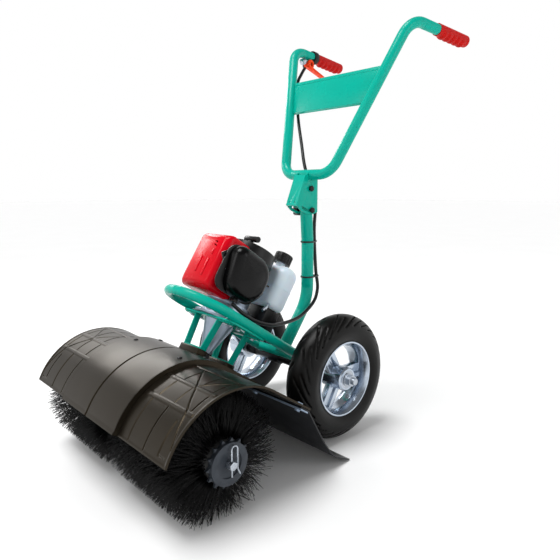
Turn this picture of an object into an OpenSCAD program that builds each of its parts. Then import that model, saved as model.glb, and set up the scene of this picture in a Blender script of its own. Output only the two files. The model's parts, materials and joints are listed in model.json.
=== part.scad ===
// Walk-behind power brush sweeper.
// An engine on a looped tube frame turns a brush under a hood through a clutch, a shaft and a worm gear.
// +X is the operator's left, -Y is forward, +Z is up, and the floor is Z = 0.

/* [Wheels] */
// Outer diameter of the tyre
tyre_d = 300; // [290:1:310]
// Width of the tyre
tyre_w = 76; // [72:1:82]
// Outer diameter of the rim's lips
rim_d = 178; // [172:1:184]
// Width across the rim's lips
rim_w = 64; // [60:1:68]
// Distance between the wheels' middle planes
track = 344; // [336:1:360]
// Diameter of the axle
axle_d = 20; // [18:0.5:22]
// Length of the wheel hub
hub_l = 60; // [56:1:64]

/* [Frame] */
// Diameter of the loop's tube
loop_d = 22; // [20:0.5:24]
// Half the distance between the loop's side tubes
loop_half = 90; // [86:1:96]
// From the drive axis forward to the loop's tip
loop_front = 143; // [138:1:160]
// Slope of the loop and lean of the drive axis, in degrees
tilt = 33.5; // [32:0.5:35]
// From the axle forward to the loop's cross tube
cross_ahead = 27.8; // [26:0.2:34]
// From the loop's plane down to the axle
axle_below = 9; // [7:0.5:11]
// Diameter of the riser tube
riser_d = 32; // [30:0.5:34]
// How far behind the axle the riser stands
riser_back = 76; // [72:1:80]
// Height of the riser's lower bend
riser_low = 300; // [290:1:312]
// Height of the riser's upper bend
riser_high = 450; // [430:1:470]
// Height of the riser's top end
riser_top = 604; // [590:1:620]
// How far behind the axle the riser's top end stands
riser_top_back = 65; // [60:1:70]
// Wall of all frame tubes
tube_wall = 2; // [1.5:0.1:2.5]

/* [Handle] */
// Diameter of the handlebar tube
bar_d = 26; // [24:0.5:28]
// Lean of the handle from the vertical, in degrees
handle_lean = 22.1; // [20:0.1:24]
// Splay of each arm from the middle, in degrees
arm_splay = 16.7; // [15:0.1:18]
// Half the width of the handle's U at its foot
u_half = 80; // [76:1:84]
// Radius of the U's two bends
u_r = 48; // [40:1:56]
// Height of the bend where the arms turn back into the grips
grip_height = 991; // [950:1:1030]
// Length of the bar from that bend to its end
grip_reach = 224; // [220:1:236]
// Length of a grip
grip_l = 123; // [112:1:126]
// Diameter of a grip
grip_d = 31; // [30:0.5:34]
// Height of the cross panel along the arms
panel_h = 94; // [80:1:104]
// From the U bend up the handle to the cross panel
panel_up = 185; // [176:1:200]

/* [Brush] */
// Diameter over the bristle tips
brush_d = 220; // [200:1:224]
// Width of the brush from hub to hub
brush_w = 548; // [530:2:560]
// From the axle forward to the brush's axis
brush_reach = 398; // [392:1:410]
// Diameter of the brush's core tube
core_d = 68; // [64:1:72]
// Strands around each ring of bristles
strands_around = 10; // [8:1:12]
// Rings of bristles on each half
strand_rows = 20; // [16:1:20]

/* [Drive] */
// Distance between the worm's and the wheel's axes
worm_cd = 56; // [54:0.5:58]
// Teeth on the worm wheel
wheel_teeth = 30; // [28:1:32]
// Pitch radius of the worm
worm_r = 12; // [11.5:0.1:12.5]
// Diameter of the drive shaft
shaft_d = 14; // [12:0.5:15]
// Diameter of the brush shaft, across its hexagon's corners
hex_d = 17; // [16:0.5:18]

/* [Hood] */
// Width of the hood
hood_w = 560; // [554:2:590]
// Outer radius of the hood's arch
hood_r = 158; // [154:1:164]
// Thickness of the hood
hood_t = 4; // [3:0.5:5]
// How far the middle band stands proud of the hood
band_raise = 10; // [6:1:12]
// From the tyres forward to the end of the hood's tail
tail_room = 50; // [42:1:60]
// Thickness of the rubber flap
flap_t = 3; // [2:0.5:4]

/* [Engine] */
// Radius of the crankcase barrel
case_r = 46; // [44:1:48]
// Height of the crankcase along its shaft
case_h = 100; // [96:1:104]
// Width of the top cover
cover_w = 112; // [108:1:116]
// From the drive axis forward to the top cover's nose
cover_front = 107; // [106:1:112]
// Height of the top cover along the shaft
cover_h = 136; // [130:1:140]
// Length of the air cleaner cover along the engine
cleaner_l = 122; // [114:1:126]
// Height of the air cleaner cover along the shaft
cleaner_h = 108; // [100:1:112]
// Depth of the air cleaner cover
cleaner_d = 39; // [34:1:44]
// Width of the fuel tank
tank_w = 116; // [108:1:120]
// Depth of the fuel tank
tank_d = 58; // [54:1:64]
// Height of the fuel tank
tank_h = 112; // [106:1:116]
// Radius of the recoil housing
recoil_r = 56; // [54:1:57]

/* [Hidden] */
$fn = 48;
hull_fn = 32;

// Clearances: overrun of cuts, room between neighbours, running fit, seat of welded and clamped pieces
over = 1;
gap = 0.3;
fit = 0.05;
weld = 0.1;

// Colours
teal = [0.00, 0.60, 0.52];
black = [0.06, 0.06, 0.07];
hood_black = [0.16, 0.14, 0.12];
red = [0.85, 0.02, 0.12];
alloy = [0.72, 0.74, 0.77];
steel = [0.55, 0.57, 0.60];
dark_steel = [0.22, 0.22, 0.23];
bronze = [0.72, 0.52, 0.25];
tank_white = [0.86, 0.91, 0.94];
orange = [1.00, 0.30, 0.08];

// Wheel details
axle_r = axle_d / 2;
axle_z = tyre_d / 2;
rim_r = rim_d / 2;
rim_wall = 4;
rim_depth = 10;
rim_lip_t = 4;
rim_slope = 8;
hub_r = 28;
hub_out = 36;
spoke_w = 12;
spoke_gap = 12;
spoke_t = 16;
spoke_count = 3;
bearing_r = 21;
bearing_w = 12;
hub_clear = 3;
tyre_wall = 8;
bead_angle = 35;
tyre_steps = 25;

// Axle details
axle_tube_r = 13;
axle_tube_half = 112;
collar_r = 17;
collar_far = -55;
collar_near = -17;
spacer_r = 14;
thread_r = 8;
washer_r = 16;
washer_t = 2.7;
nut_af = 24;
nut_t = 12;
axle_end = 9;
hub_end = track / 2 + hub_out;
hub_start = hub_end - hub_l;

// Drive axis: the brush's axis, the worm beside it and the loop above it
loop_r = loop_d / 2;
brush_r = brush_d / 2;
loop_bend = loop_half - tube_wall;
axle_ey = brush_reach * cos(tilt) - (axle_z - brush_r) * sin(tilt) - worm_cd;
shaft_rise = brush_reach * sin(tilt) + (axle_z - brush_r) * cos(tilt) + axle_below;
cross_back = axle_ey - cross_ahead;
function from_drive(y, z) = [-brush_reach + (worm_cd + y) * cos(tilt) + (shaft_rise + z) * sin(tilt),
    brush_r - (worm_cd + y) * sin(tilt) + (shaft_rise + z) * cos(tilt)];
foot = from_drive(cross_back, 0);

// Riser, bracket and handle
riser_r = riser_d / 2;
bar_r = bar_d / 2;
riser_bend = 120;
pivot_down = 12;
lock_drop = 55;
u_rise = 34.5;
bar_front = 8;
bolt_r = 4;
lock_r = 3;
head_af = 13;
head_t = 5.5;
tilt_up = 34;
index_steps = 3;
index_r = 4.2;
slot_room = 1.5;
riser_points = [[0, foot[0], foot[1]], [0, riser_back, riser_low], [0, riser_back, riser_high],
    [0, riser_top_back, riser_top]];
riser_up = unit(riser_points[3] - riser_points[2]);
pivot = riser_points[3] - riser_up * pivot_down;
lock_at = pivot - riser_up * lock_drop;
lean_up = [0, sin(handle_lean), cos(handle_lean)];
lean_back = [0, cos(handle_lean), -sin(handle_lean)];
lock_angle = atan2(lock_at[2] - pivot[2], lock_at[1] - pivot[1]) + handle_lean;
ear_t = 3;
ear_in = riser_r + gap;
ear_out = ear_in + ear_t;
ear_back = 14;
ear_top = 24.5;
ear_rim = 10;
ear_turn = 9;
ear_drop = 58;
web_front = 28;
web_hole_r = 2;
web_hole_x = 9;
web_hole_up = 9;
arm_h = (grip_height - pivot[2] - bar_front * sin(handle_lean)) / cos(handle_lean) - u_rise;
grip_out = 5;
grip_drop = 4.5;
bar_bend = 60;
function arm_x(h) = u_half + tan(arm_splay) * h;
function on_handle(x, h) = pivot + [x, 0, 0] + lean_up * (u_rise + h) - lean_back * bar_front;
function corner(side) = on_handle(side * arm_x(arm_h), arm_h);
function grip_dir(side) = [side * sin(grip_out) * cos(grip_drop), cos(grip_out) * cos(grip_drop),
    -sin(grip_drop)];
grip_cap = 4;
bar_points = [corner(-1) + grip_dir(-1) * (grip_reach - grip_cap), corner(-1), on_handle(-u_half, 0),
    on_handle(u_half, 0), corner(1), corner(1) + grip_dir(1) * (grip_reach - grip_cap)];
bar_bends = [0, bar_bend, u_r, u_r, bar_bend, 0];
panel_t = 2.5;
panel_flange = 9;

// The origin stands under the middle of the whole machine
lip_angle = 157;
tail_angle = 90 - tilt;
arch_back = 13;
arch_drop = 20;
arch = [-brush_reach + arch_back, brush_r - arch_drop];
tail_l = (-axle_z - tail_room - arch[0] - hood_r * cos(tail_angle)) / cos(tilt);
tail_ey = arch_back * cos(tilt) + arch_drop * sin(tilt) - worm_cd;
seat_z = arch_back * sin(tilt) - arch_drop * cos(tilt) + hood_r + band_raise - shaft_rise;
reach_front = -(arch[0] + (hood_r + band_raise) * cos(lip_angle));
reach_back = corner(1)[1] + grip_reach * grip_dir(1)[1] + grip_d / 2 * sqrt(1 - pow(grip_dir(1)[1], 2));
axle_y = (reach_front - reach_back) / 2;

// Throttle lever under the right grip
clamp_at = 80;
clamp_l = 16;
clamp_t = 5;
lever_at = 60;
lever_drop = 28;
lever_l = 96;
lever_w = 14;
lever_t = 5;
lever_rest = 12;
lever_boss = 7;
screw_r = 3;
screw_head_r = 6;
screw_head_t = 3;
cheek_t = 3;

// Lock knob
knob_r = 15;
knob_l = 18;
knob_hollows = 6;
knob_hollow_r = 5;
knob_hold = 12;

// Plate, straps and bolts under the loop
plate_t = 4;
plate_half = 98;
plate_front = 48;
plate_edge = 9;
plate_corner = 24;
plate_top = -loop_r - weld;
strap_t = 3;
strap_w = 16;
front_strap_y = tail_ey;
rear_strap_in = 27;
rear_strap_y = tail_ey + tail_l - rear_strap_in;
strap_half = 40;
strap_low_half = 30;
hood_pad_h = 14;
hood_pad_room = 6;
strap_tab = 40;
small_bolt_r = 3;
small_head_r = 5.5;
small_head_t = 4;
flange_bolt_ring = 58.5;
flange_bolt_angles = [-12, 12, 168, 192];

// Clutch and drive
bell_r = 52;
bell_wall = 8;
bell_floor = 3;
bell_top = 28;
flange_r = 65;
flange_t = 6;
cone_r = 36;
neck_r = 16;
neck_room = 13.5;
neck_l = 12;
neck_low = seat_z + neck_room;
cone_low = neck_low + neck_l;
plate_back = max(flange_r, rear_strap_y + strap_w / 2) + plate_edge;
shaft_r = shaft_d / 2;
shaft_clear = 2;
drive_bearing_r = 13;
drive_bearing_w = 12;
drum_r = 40;
drum_wall = 3.5;
drum_h = 24;
drum_low = -1;
drum_hub_r = 12;
drum_hub_l = 7;
shoe_room = 1;
shoe_h = 14;
shoe_low = 8;
shoe_split = 7;
crank_end_r = 11;
drive_tube_r = 13;
drive_tube_wall = 4;

// Worm gear and its case
wheel_pitch_r = worm_cd - worm_r;
worm_pitch = 2 * PI * wheel_pitch_r / wheel_teeth;
tooth_up = 2.2;
tooth_down = 2.8;
tooth_share = 0.36;
tooth_tip_share = 0.24;
worm_turns = 4;
worm_steps = 20;
thread_foot_share = 0.4;
thread_tip_share = 0.24;
wheel_face = 8;
wheel_hub_r = 16;
wheel_hub_l = 13;
case_wall = 5;
worm_room = 2;
case_face = 13;
wheel_room = 2.3;
worm_bore_half = 26;
boss_r = 24;
boss_out = 30;
shaft_bearing_r = 17.5;
shaft_bearing_w = 10;
shaft_bearing_in = 18;
hex_r = hex_d / 2;
lug_r = 7;
lug_half = 8;
lug_ring = 59;
lug_angles = [-120, -60, 0, 60, 120];
case_low = 40;
case_top = 36;

// Brush halves
core_r = core_d / 2;
core_wall = 4;
core_start = 34;
core_end = brush_w / 2;
hub_disc_r = 40;
hub_disc_t = 6;
hub_dish = 3;
hub_dish_r = 26;
star_teeth = 14;
star_out = 7;
star_t = 6;
sleeve_start = 38;
sleeve_end = core_end - hub_disc_t - star_t - gap;
sleeve_r = 41;
strand_foot = 3;
strand_tip = 2;
strand_base_share = 0.6;
pin_at = core_end + 5;
pin_r = 1.6;
pin_low = 22;
pin_high = 28;
pin_leg = 13;
shaft_end = 11;

// Hood straps' seat, hood and flap
arch_steps = 14;
band_half = 116;
tube_hole_gap = 4;
tube_hole_r = drive_tube_r + tube_hole_gap;
flap_lap = 26;
flap_knee_back = 68;
flap_knee_up = 40;
flap_tip_back = 130;
flap_clear = 2;
flap_steps = 4;
flap_side = 2;
strip_w = 24;
strip_t = 3;
strip_bolt_shares = [-1, -0.5, 0.5, 1];
strip_edge = 20;

// Engine, measured along the drive axis from the loop
case_low_z = bell_top;
case_top_z = case_low_z + case_h;
case_flange_r = 54;
case_flange_t = 6;
case_shell = 7;
crank_bearing_r = 18;
crank_r = 8;
crank_z = case_low_z + case_h / 2;
throw_r = 14;
web_r = 28;
web_t = 8;
web_split = 10;
pin_crank_r = 7;
cyl_r = 27;
cyl_bore_r = 19;
cyl_out = 86;
fin_half = 30;
fin_t = 2.5;
fin_pitch = 8;
fin_count = 4;
fin_first = 52;
head_half = 25;
head_l = 12;
pad_half = 20;
pad_low = 88;
pad_high = 124;
tank_room = 1;
tank_front = recoil_r + tank_room;
flywheel_r = 48;
flywheel_t = 12;
fan_blades = 12;
fan_t = 3;
fan_h = 6;
recoil_top = 178;
recoil_wall = 3;
flywheel_low = case_top_z + recoil_wall + fan_t;
vent_count = 8;
vent_w = 7;
vent_in_share = 0.55;
vent_out_share = 0.85;
rope_r = 2;
rope_stub = 12;
rope_x = 20;
rope_y = -34;
rope_boss_r = 7;
rope_boss_h = 5;
pull_l = 44;
pull_r = 7;
pull_neck_share = 0.7;
cover_rise = 2;
cover_low = bell_top + cover_rise;
cover_back = -30;
cover_wall = 3;
cover_round = 22;
cover_x = -18;
base_t = 4.5;
cleaner_front = -112;
cleaner_low = 38;
cleaner_round = 26;
cleaner_crown_share = 0.62;
cleaner_wall = 2.5;
intake_r = 14;
throat_share = 0.7;
carb_x = 47;
carb_w = 13;
carb_l = 48;
carb_h = 42;
carb_low = 62;
carb_mid = -2;
arm_pin_r = 3;
arm_t = 3;
arm_l = 24;
arm_w = 8;
arm_pin_l = 4.5;
throttle_pin_y = -18;
throttle_arm_turn = -90;
choke_pin_y = 14;
choke_lever_turn = 60;
inlet_front = -92;
inlet_back = -46;
inlet_low = 58;
inlet_high = 128;
clip_w = 10;
clip_drop = 6;
muffler_x = 26;
muffler_l = 60;
muffler_h = 66;
muffler_low = 50;
muffler_front = -66;
muffler_round = 10;
outlet_r = 7;
outlet_l = 12;
tank_low = 66;
tank_round = 16;
tank_wall = 3;
tank_x = 12;
neck_bore_r = 9;
filler_r = 12;
filler_x = 14;
filler_back = 27;
filler_up = 20;
cap_r = 23;
cap_h = 24;
cap_lap = 10;
cap_ribs = 18;
cap_rib = 1.2;
stand_low = 16;
stand_w = 100;
stand_d = 44;
stand_wall = 5;
stand_x = 8;
stand_inset = 8;

// Throttle cable: its route from the clamp, from the axle, and on the engine, from the drive axis
cable_r = 4.5;
cable_sides = 8;
cable_steps = 4;
cable_upper = [[-196, 260, 946], [-186, 236, 924], [-174, 210, 896], [-136, 172, 806], [-84, 136, 712],
    [-40, 108, 640], [0, 101, 570], [0, 101, 480], [2, 106, 380], [16, 98, 322], [36, 42, 284]];
cable_engine = [[60, 134.2, 55.8], [75, 55.3, 22.8], [78, -3.5, 17.4], [67, -43.7, 25.6]];
cable_tip = cable_engine[len(cable_engine) - 1];
cable_route = concat(cable_upper, [for (p = cable_engine) [p[0], each from_drive(p[1], p[2])]]);
tie_low = 360;
tie_step = 90;
tie_t = 1.5;
tie_w = 4;

function unit(v) = v / norm(v);
function reverse(list) = [for (i = [len(list) - 1 : -1 : 0]) list[i]];

// A point between p1 and p2 on the smooth curve through p0, p1, p2 and p3
function curve_point(p0, p1, p2, p3, t) = (2 * p1 + (p2 - p0) * t + (2 * p0 - 5 * p1 + 4 * p2 - p3) * t * t
    + (3 * p1 - p0 - 3 * p2 + p3) * t * t * t) / 2;
function smooth(points, steps) = let (last = len(points) - 1)
    concat([for (i = [0 : last - 1]) for (k = [0 : steps - 1])
        curve_point(points[max(i - 1, 0)], points[i], points[i + 1], points[min(i + 2, last)], k / steps)],
    [points[last]]);

// The flat outline of a bent sheet, from its middle line and its thickness
function sheet_normal(line, i) = let (d = unit(line[min(i + 1, len(line) - 1)] - line[max(i - 1, 0)]))
    [-d[1], d[0]];
function sheet_outline(line, t) = concat(
    [for (i = [0 : len(line) - 1]) line[i] + sheet_normal(line, i) * t / 2],
    reverse([for (i = [0 : len(line) - 1]) line[i] - sheet_normal(line, i) * t / 2]));

module at_axle() translate([0, axle_y, 0]) children();
module at_brush() at_axle() translate([0, -brush_reach, brush_r]) children();
module at_drive() at_brush() rotate([-tilt, 0, 0]) translate([0, worm_cd, shaft_rise]) children();
module at_handle() at_axle() translate(pivot) rotate([-handle_lean, 0, 0]) children();
module at_grip(side) at_axle() translate(corner(side)) rotate([-grip_drop, 0, -side * grip_out]) children();
module at_wheel(side) at_axle() translate([side * track / 2, 0, axle_z]) rotate([0, side * 90, 0]) children();

// A round bar from a to b
module bar(a, b, r) {
    d = b - a;
    translate(a) rotate([0, acos(d[2] / norm(d)), atan2(d[1], d[0])]) cylinder(h = norm(d), r = r);
}

// The bend of a round bar at corner p, from direction d1 to direction d2
module elbow(p, d1, d2, bend, r) {
    turn = acos(d1 * d2);
    inward = unit(d2 - d1 * (d1 * d2));
    c = p - d1 * bend * tan(turn / 2) + inward * bend;
    up = cross(-inward, d1);
    multmatrix([[-inward[0], d1[0], up[0], c[0]], [-inward[1], d1[1], up[1], c[1]],
        [-inward[2], d1[2], up[2], c[2]], [0, 0, 0, 1]])
        rotate_extrude(angle = turn) translate([bend, 0]) circle(r = r);
}

// A round bar along points, rounded at each inner point by its bend radius.
// The straights run a little way into the bends, which are drawn slightly thinner, as in a bent tube.
module bent_bar(points, bends, r) {
    last = len(points) - 1;
    dirs = [for (i = [0 : last - 1]) unit(points[i + 1] - points[i])];
    cuts = [for (i = [0 : last]) i == 0 || i == last ? 0
        : bends[i] * tan(acos(dirs[i - 1] * dirs[i]) / 2) - over];
    for (i = [0 : last - 1]) bar(points[i] + dirs[i] * cuts[i], points[i + 1] - dirs[i] * cuts[i + 1], r);
    for (i = [1 : last - 1]) elbow(points[i], dirs[i - 1], dirs[i], bends[i], r - weld);
}
function longer(points) = let (last = len(points) - 1) concat(
    [points[0] - unit(points[1] - points[0]) * over],
    [for (i = [1 : last - 1]) points[i]],
    [points[last] + unit(points[last] - points[last - 1]) * over]);

// A cylinder along X from x0 to x1
module lying(x0, x1, r) translate([x0, 0, 0]) rotate([0, 90, 0]) cylinder(h = x1 - x0, r = r);
module lying_hex(x0, x1, af) translate([x0, 0, 0]) rotate([0, 90, 0])
    cylinder(h = x1 - x0, d = af / cos(30), $fn = 6);
module ring(h, r, bore) difference() {
    cylinder(h = h, r = r);
    translate([0, 0, -over]) cylinder(h = h + 2 * over, r = bore);
}
// An outline in Y and Z, drawn out along X from x0 to x1
module across(x0, x1) translate([x0, 0, 0]) rotate([90, 0, 90]) linear_extrude(height = x1 - x0) children();
module block(low, high) translate(low) cube(high - low);
module rounded_block(low, high, r) hull()
    for (x = [low[0] + r, high[0] - r]) for (y = [low[1] + r, high[1] - r])
        for (z = [low[2] + r, high[2] - r]) translate([x, y, z]) sphere(r = r, $fn = hull_fn / 2);

// A tube swept along a smooth route
module swept(points, r, sides) {
    last = len(points) - 1;
    dirs = [for (i = [0 : last]) unit(points[min(i + 1, last)] - points[max(i - 1, 0)])];
    rings = [for (i = [0 : last]) let (u = unit(cross(dirs[i], [1, 0, 0])), v = cross(dirs[i], u))
        for (k = [0 : sides - 1]) points[i] + r * (u * cos(360 * k / sides) + v * sin(360 * k / sides))];
    walls = [for (i = [0 : last - 1]) for (k = [0 : sides - 1])
        let (n = (k + 1) % sides, a = i * sides, b = a + sides)
        each [[a + k, b + k, b + n], [a + k, b + n, a + n]]];
    ends = [for (k = [1 : sides - 2]) each [[0, k, k + 1],
        [last * sides, last * sides + k + 1, last * sides + k]]];
    polyhedron(points = rings, faces = concat(walls, ends));
}

// Handle
module handlebar() color(teal) at_axle() difference() {
    bent_bar(bar_points, bar_bends, bar_r);
    bent_bar(longer(bar_points), bar_bends, bar_r - tube_wall);
}
module panel_sheet(low, high, front, back) rotate([90, 0, 0]) translate([0, 0, -back])
    linear_extrude(height = back - front) polygon([[-arm_x(low), u_rise + low], [arm_x(low), u_rise + low],
        [arm_x(high), u_rise + high], [-arm_x(high), u_rise + high]]);
module cross_panel() color(teal) difference() {
    at_handle() translate([0, -bar_front, 0]) {
        panel_sheet(panel_up, panel_up + panel_h, -panel_t / 2, panel_t / 2);
        panel_sheet(panel_up, panel_up + panel_t, -panel_t / 2, panel_flange);
        panel_sheet(panel_up + panel_h - panel_t, panel_up + panel_h, -panel_t / 2, panel_flange);
    }
    at_axle() for (i = [1, 3]) bar(bar_points[i], bar_points[i + 1], bar_r + weld);
}
module grip(side) color(red) at_grip(side) rotate([-90, 0, 0]) difference() {
    translate([0, 0, grip_reach - grip_l]) cylinder(h = grip_l, r = grip_d / 2);
    translate([0, 0, grip_reach - grip_l - over])
        cylinder(h = grip_l + over - grip_cap + fit, r = bar_r + fit);
}
module grip_left() grip(1);
module grip_right() grip(-1);
module throttle_clamp() color(black) at_grip(-1) difference() {
    union() {
        translate([0, clamp_at, 0]) rotate([-90, 0, 0]) cylinder(h = clamp_l, r = bar_r + clamp_t);
        for (s = [-1, 1]) cheek(s);
    }
    translate([0, lever_at, 0]) rotate([-90, 0, 0])
        cylinder(h = clamp_at + clamp_l + over - lever_at, r = bar_r + weld);
    translate([0, lever_at, -lever_drop]) lying(-lever_w, lever_w, screw_r + weld);
}
// One of the two plates that hold the lever's screw
module cheek(s) {
    x = s * (lever_w / 2 + gap + cheek_t / 2);
    across(x - cheek_t / 2, x + cheek_t / 2) polygon([[lever_at - lever_boss, -lever_drop - lever_boss],
        [lever_at + lever_boss, -lever_drop - lever_boss], [clamp_at + clamp_l, -bar_r],
        [clamp_at + clamp_l, 0], [clamp_at, 0]]);
}
module throttle_screw() color(steel) at_grip(-1) translate([0, lever_at, -lever_drop]) {
    edge = lever_w / 2 + gap + cheek_t;
    lying(-edge, edge, screw_r);
    lying(-edge - screw_head_t, -edge, screw_head_r);
    lying(edge, edge + screw_head_t, screw_head_r);
}
module throttle_lever() color(orange) at_grip(-1) translate([0, lever_at, -lever_drop]) difference() {
    rotate([-lever_rest, 0, 0]) {
        lying(-lever_w / 2, lever_w / 2, lever_boss);
        across(-lever_w / 2, lever_w / 2) polygon([[0, lever_t / 2], [0, -lever_boss], [lever_l, -lever_t],
            [lever_l, 0]]);
    }
    lying(-lever_w, lever_w, screw_r + fit);
}
slot_high = lock_angle + slot_room;
slot_low = lock_angle - tilt_up - slot_room;
module handle_bracket() color(teal) difference() {
    at_handle() difference() {
        union() {
            for (s = [0, 1]) mirror([s, 0, 0]) across(ear_in, ear_out) ear_outline();
            block([-ear_out, -web_front - ear_t, -ear_drop], [ear_out, -web_front, ear_top]);
            block([-ear_out, -web_front, ear_top - ear_t], [ear_out, ear_back, ear_top]);
        }
        lying(-ear_out - over, ear_out + over, bolt_r + fit);
        lock_slot();
        for (s = [-1, 1]) translate([s * web_hole_x, 0, web_hole_up - ear_drop])
            rotate([90, 0, 0]) cylinder(h = web_front + ear_t + over, r = web_hole_r);
    }
    at_axle() bent_bar(bar_points, bar_bends, bar_r + weld);
}
module ear_outline() polygon(concat([[-web_front, -ear_drop], [-web_front, ear_top],
    [-bar_front - bar_r, u_rise], [ear_back, u_rise]],
    [for (a = [slot_high + 2 * ear_turn, slot_high + ear_turn, slot_high, lock_angle - tilt_up / 2, slot_low])
        (lock_drop + ear_rim) * [cos(a), sin(a)]]));
// The row of index holes, joined by the curved slot that the lock bolt slides in as the handle tilts
module lock_slot() translate([-ear_out - over, 0, 0]) rotate([90, 0, 90]) {
    rotate([0, 0, slot_low]) rotate_extrude(angle = slot_high - slot_low)
        translate([lock_drop - lock_r - gap, 0]) square([2 * (lock_r + gap), 2 * (ear_out + over)]);
    for (i = [0 : index_steps]) rotate([0, 0, lock_angle - tilt_up * i / index_steps])
        translate([lock_drop, 0, 0]) cylinder(h = 2 * (ear_out + over), r = index_r);
}
module bracket_bolts() color(steel) at_axle() {
    translate(pivot) {
        lying(-ear_out - gap - head_t, ear_out + gap, bolt_r);
        lying_hex(ear_out + gap, ear_out + gap + head_t, head_af);
        lying_hex(-ear_out - gap - head_t, -ear_out - gap, head_af);
    }
    translate(lock_at) {
        lying(-ear_out - gap - knob_hold, ear_out + gap, lock_r);
        lying_hex(ear_out + gap, ear_out + gap + head_t, head_af);
    }
}
module lock_knob() color(black) at_axle() translate(lock_at) difference() {
    lying(-ear_out - gap - knob_l, -ear_out - gap, knob_r);
    for (i = [0 : knob_hollows - 1]) rotate([360 * i / knob_hollows, 0, 0])
        translate([0, 0, knob_r + knob_hollow_r / 2])
            lying(-ear_out - gap - knob_l - over, -ear_out - gap + over, knob_hollow_r);
    lying(-ear_out - gap - knob_hold - gap, over, lock_r + fit);
}
module throttle_cable() color(black) at_axle() swept(smooth(cable_route, cable_steps), cable_r, cable_sides);
cable_line = smooth(cable_route, cable_steps);
function nearest_height(z) = let (gaps = [for (p = cable_line) abs(p[2] - z)], least = min(gaps))
    [for (i = [0 : len(gaps) - 1]) if (gaps[i] == least) cable_line[i]][0];
function riser_y(z) = z < riser_high ? riser_back
    : riser_back + (riser_top_back - riser_back) * (z - riser_high) / (riser_top - riser_high);
module cable_ties() color(tank_white) at_axle() for (z = [tie_low, tie_low + tie_step]) difference() {
    tie_band(nearest_height(z), gap + tie_t, 0);
    tie_band(nearest_height(z), gap, over);
}
module tie_band(at, room, more) translate([0, 0, at[2] - tie_w / 2 - more]) hull() {
    translate([0, riser_y(at[2]), 0]) cylinder(h = tie_w + 2 * more, r = riser_r + room + gap, $fn = hull_fn);
    translate([at[0], at[1], 0]) cylinder(h = tie_w + 2 * more, r = cable_r + room + gap, $fn = hull_fn);
}

// Frame
module riser_tube() color(teal) at_axle() difference() {
    bent_bar(riser_points, [0, riser_bend, riser_bend, 0], riser_r);
    bent_bar(longer(riser_points), [0, riser_bend, riser_bend, 0], riser_r - tube_wall);
    translate(riser_points[0]) lying(-riser_d, riser_d, loop_r + weld);
    translate(pivot) lying(-riser_d, riser_d, bolt_r + fit);
    translate(lock_at) lying(-riser_d, riser_d, lock_r + fit);
}
loop_points = [[-loop_half, axle_ey, 0], [-loop_half, -loop_front, 0], [loop_half, -loop_front, 0],
    [loop_half, axle_ey, 0]];
module loop_bars(r, points) {
    bent_bar(points, [0, loop_bend, loop_bend, 0], r);
    bar([-loop_half, cross_back, 0], [loop_half, cross_back, 0], r);
}
module frame_loop() color(teal) at_drive() difference() {
    loop_bars(loop_r, loop_points);
    loop_bars(loop_r - tube_wall, longer(loop_points));
    translate([0, axle_ey, -axle_below]) lying(-track / 2, track / 2, axle_tube_r + weld);
}
module engine_plate() color(teal) at_drive() difference() {
    translate([0, 0, plate_top - plate_t]) linear_extrude(height = plate_t) offset(r = plate_corner)
        translate([-plate_half + plate_corner, -plate_front + plate_corner])
            square([2 * (plate_half - plate_corner), plate_front + plate_back - 2 * plate_corner]);
    translate([0, 0, plate_top - plate_t - over]) cylinder(h = plate_t + 2 * over, r = cone_r + gap);
    flange_bolts_at() translate([0, 0, plate_top - plate_t - over])
        cylinder(h = plate_t + 2 * over, r = small_bolt_r + fit);
    strap_bolts_at() translate([0, 0, plate_top - plate_t - over])
        cylinder(h = plate_t + 2 * over, r = small_bolt_r + fit);
}
module flange_bolts_at() for (a = flange_bolt_angles) rotate([0, 0, a]) translate([flange_bolt_ring, 0, 0])
    children();
module strap_bolts_at() for (s = [-1, 1]) for (y = [front_strap_y, rear_strap_y])
    translate([s * (strap_half + strap_t + strap_tab / 2), y, 0]) children();
plate_low = plate_top - plate_t;
strap_low = seat_z + hood_pad_h + weld;
strap_high = plate_low - weld;
module hood_straps() color(teal) at_drive() difference() {
    for (y = [front_strap_y, rear_strap_y]) translate([0, y + strap_w / 2, 0]) rotate([90, 0, 0])
        linear_extrude(height = strap_w) polygon(concat(strap_side(1), reverse(strap_side(-1))));
    strap_bolts_at() translate([0, 0, strap_high - strap_t - over])
        cylinder(h = strap_t + 2 * over, r = small_bolt_r + fit);
}
// One side of a strap's outline: its foot's underside, its slanting leg and its tab under the plate
function strap_side(s) = [[0, strap_low], [s * (strap_low_half + strap_t), strap_low],
    [s * (strap_half + strap_t), strap_high - strap_t],
    [s * (strap_half + strap_t + strap_tab), strap_high - strap_t],
    [s * (strap_half + strap_t + strap_tab), strap_high], [s * strap_half, strap_high],
    [s * strap_low_half, strap_low + strap_t], [0, strap_low + strap_t]];
// A bolt through a stack from low to high, with a round head above and a nut below
module stack_bolt(low, high) {
    translate([0, 0, low - small_head_t]) cylinder(h = high - low + small_head_t, r = small_bolt_r);
    translate([0, 0, high]) cylinder(h = small_head_t, r = small_head_r);
    translate([0, 0, low - small_head_t]) cylinder(h = small_head_t, r = small_head_r, $fn = 6);
}
module frame_bolts() color(steel) {
    at_drive() {
        flange_bolts_at() stack_bolt(plate_low, plate_top + weld + flange_t);
        strap_bolts_at() stack_bolt(plate_low - weld - strap_t, plate_top);
    }
    at_brush() rotate([-tilt, 0, 0]) for (a = lug_angles) rotate([a, 0, 0]) translate([0, -lug_ring, 0])
        rotate([0, 90, 0]) stack_bolt(-lug_half, lug_half);
}
module axle_tube() color(dark_steel) at_axle() translate([0, 0, axle_z]) difference() {
    union() {
        lying(-axle_tube_half, axle_tube_half, axle_tube_r);
        lying(collar_far, collar_near, collar_r);
    }
    lying(-axle_tube_half - over, axle_tube_half + over, axle_r + fit);
}
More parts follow.
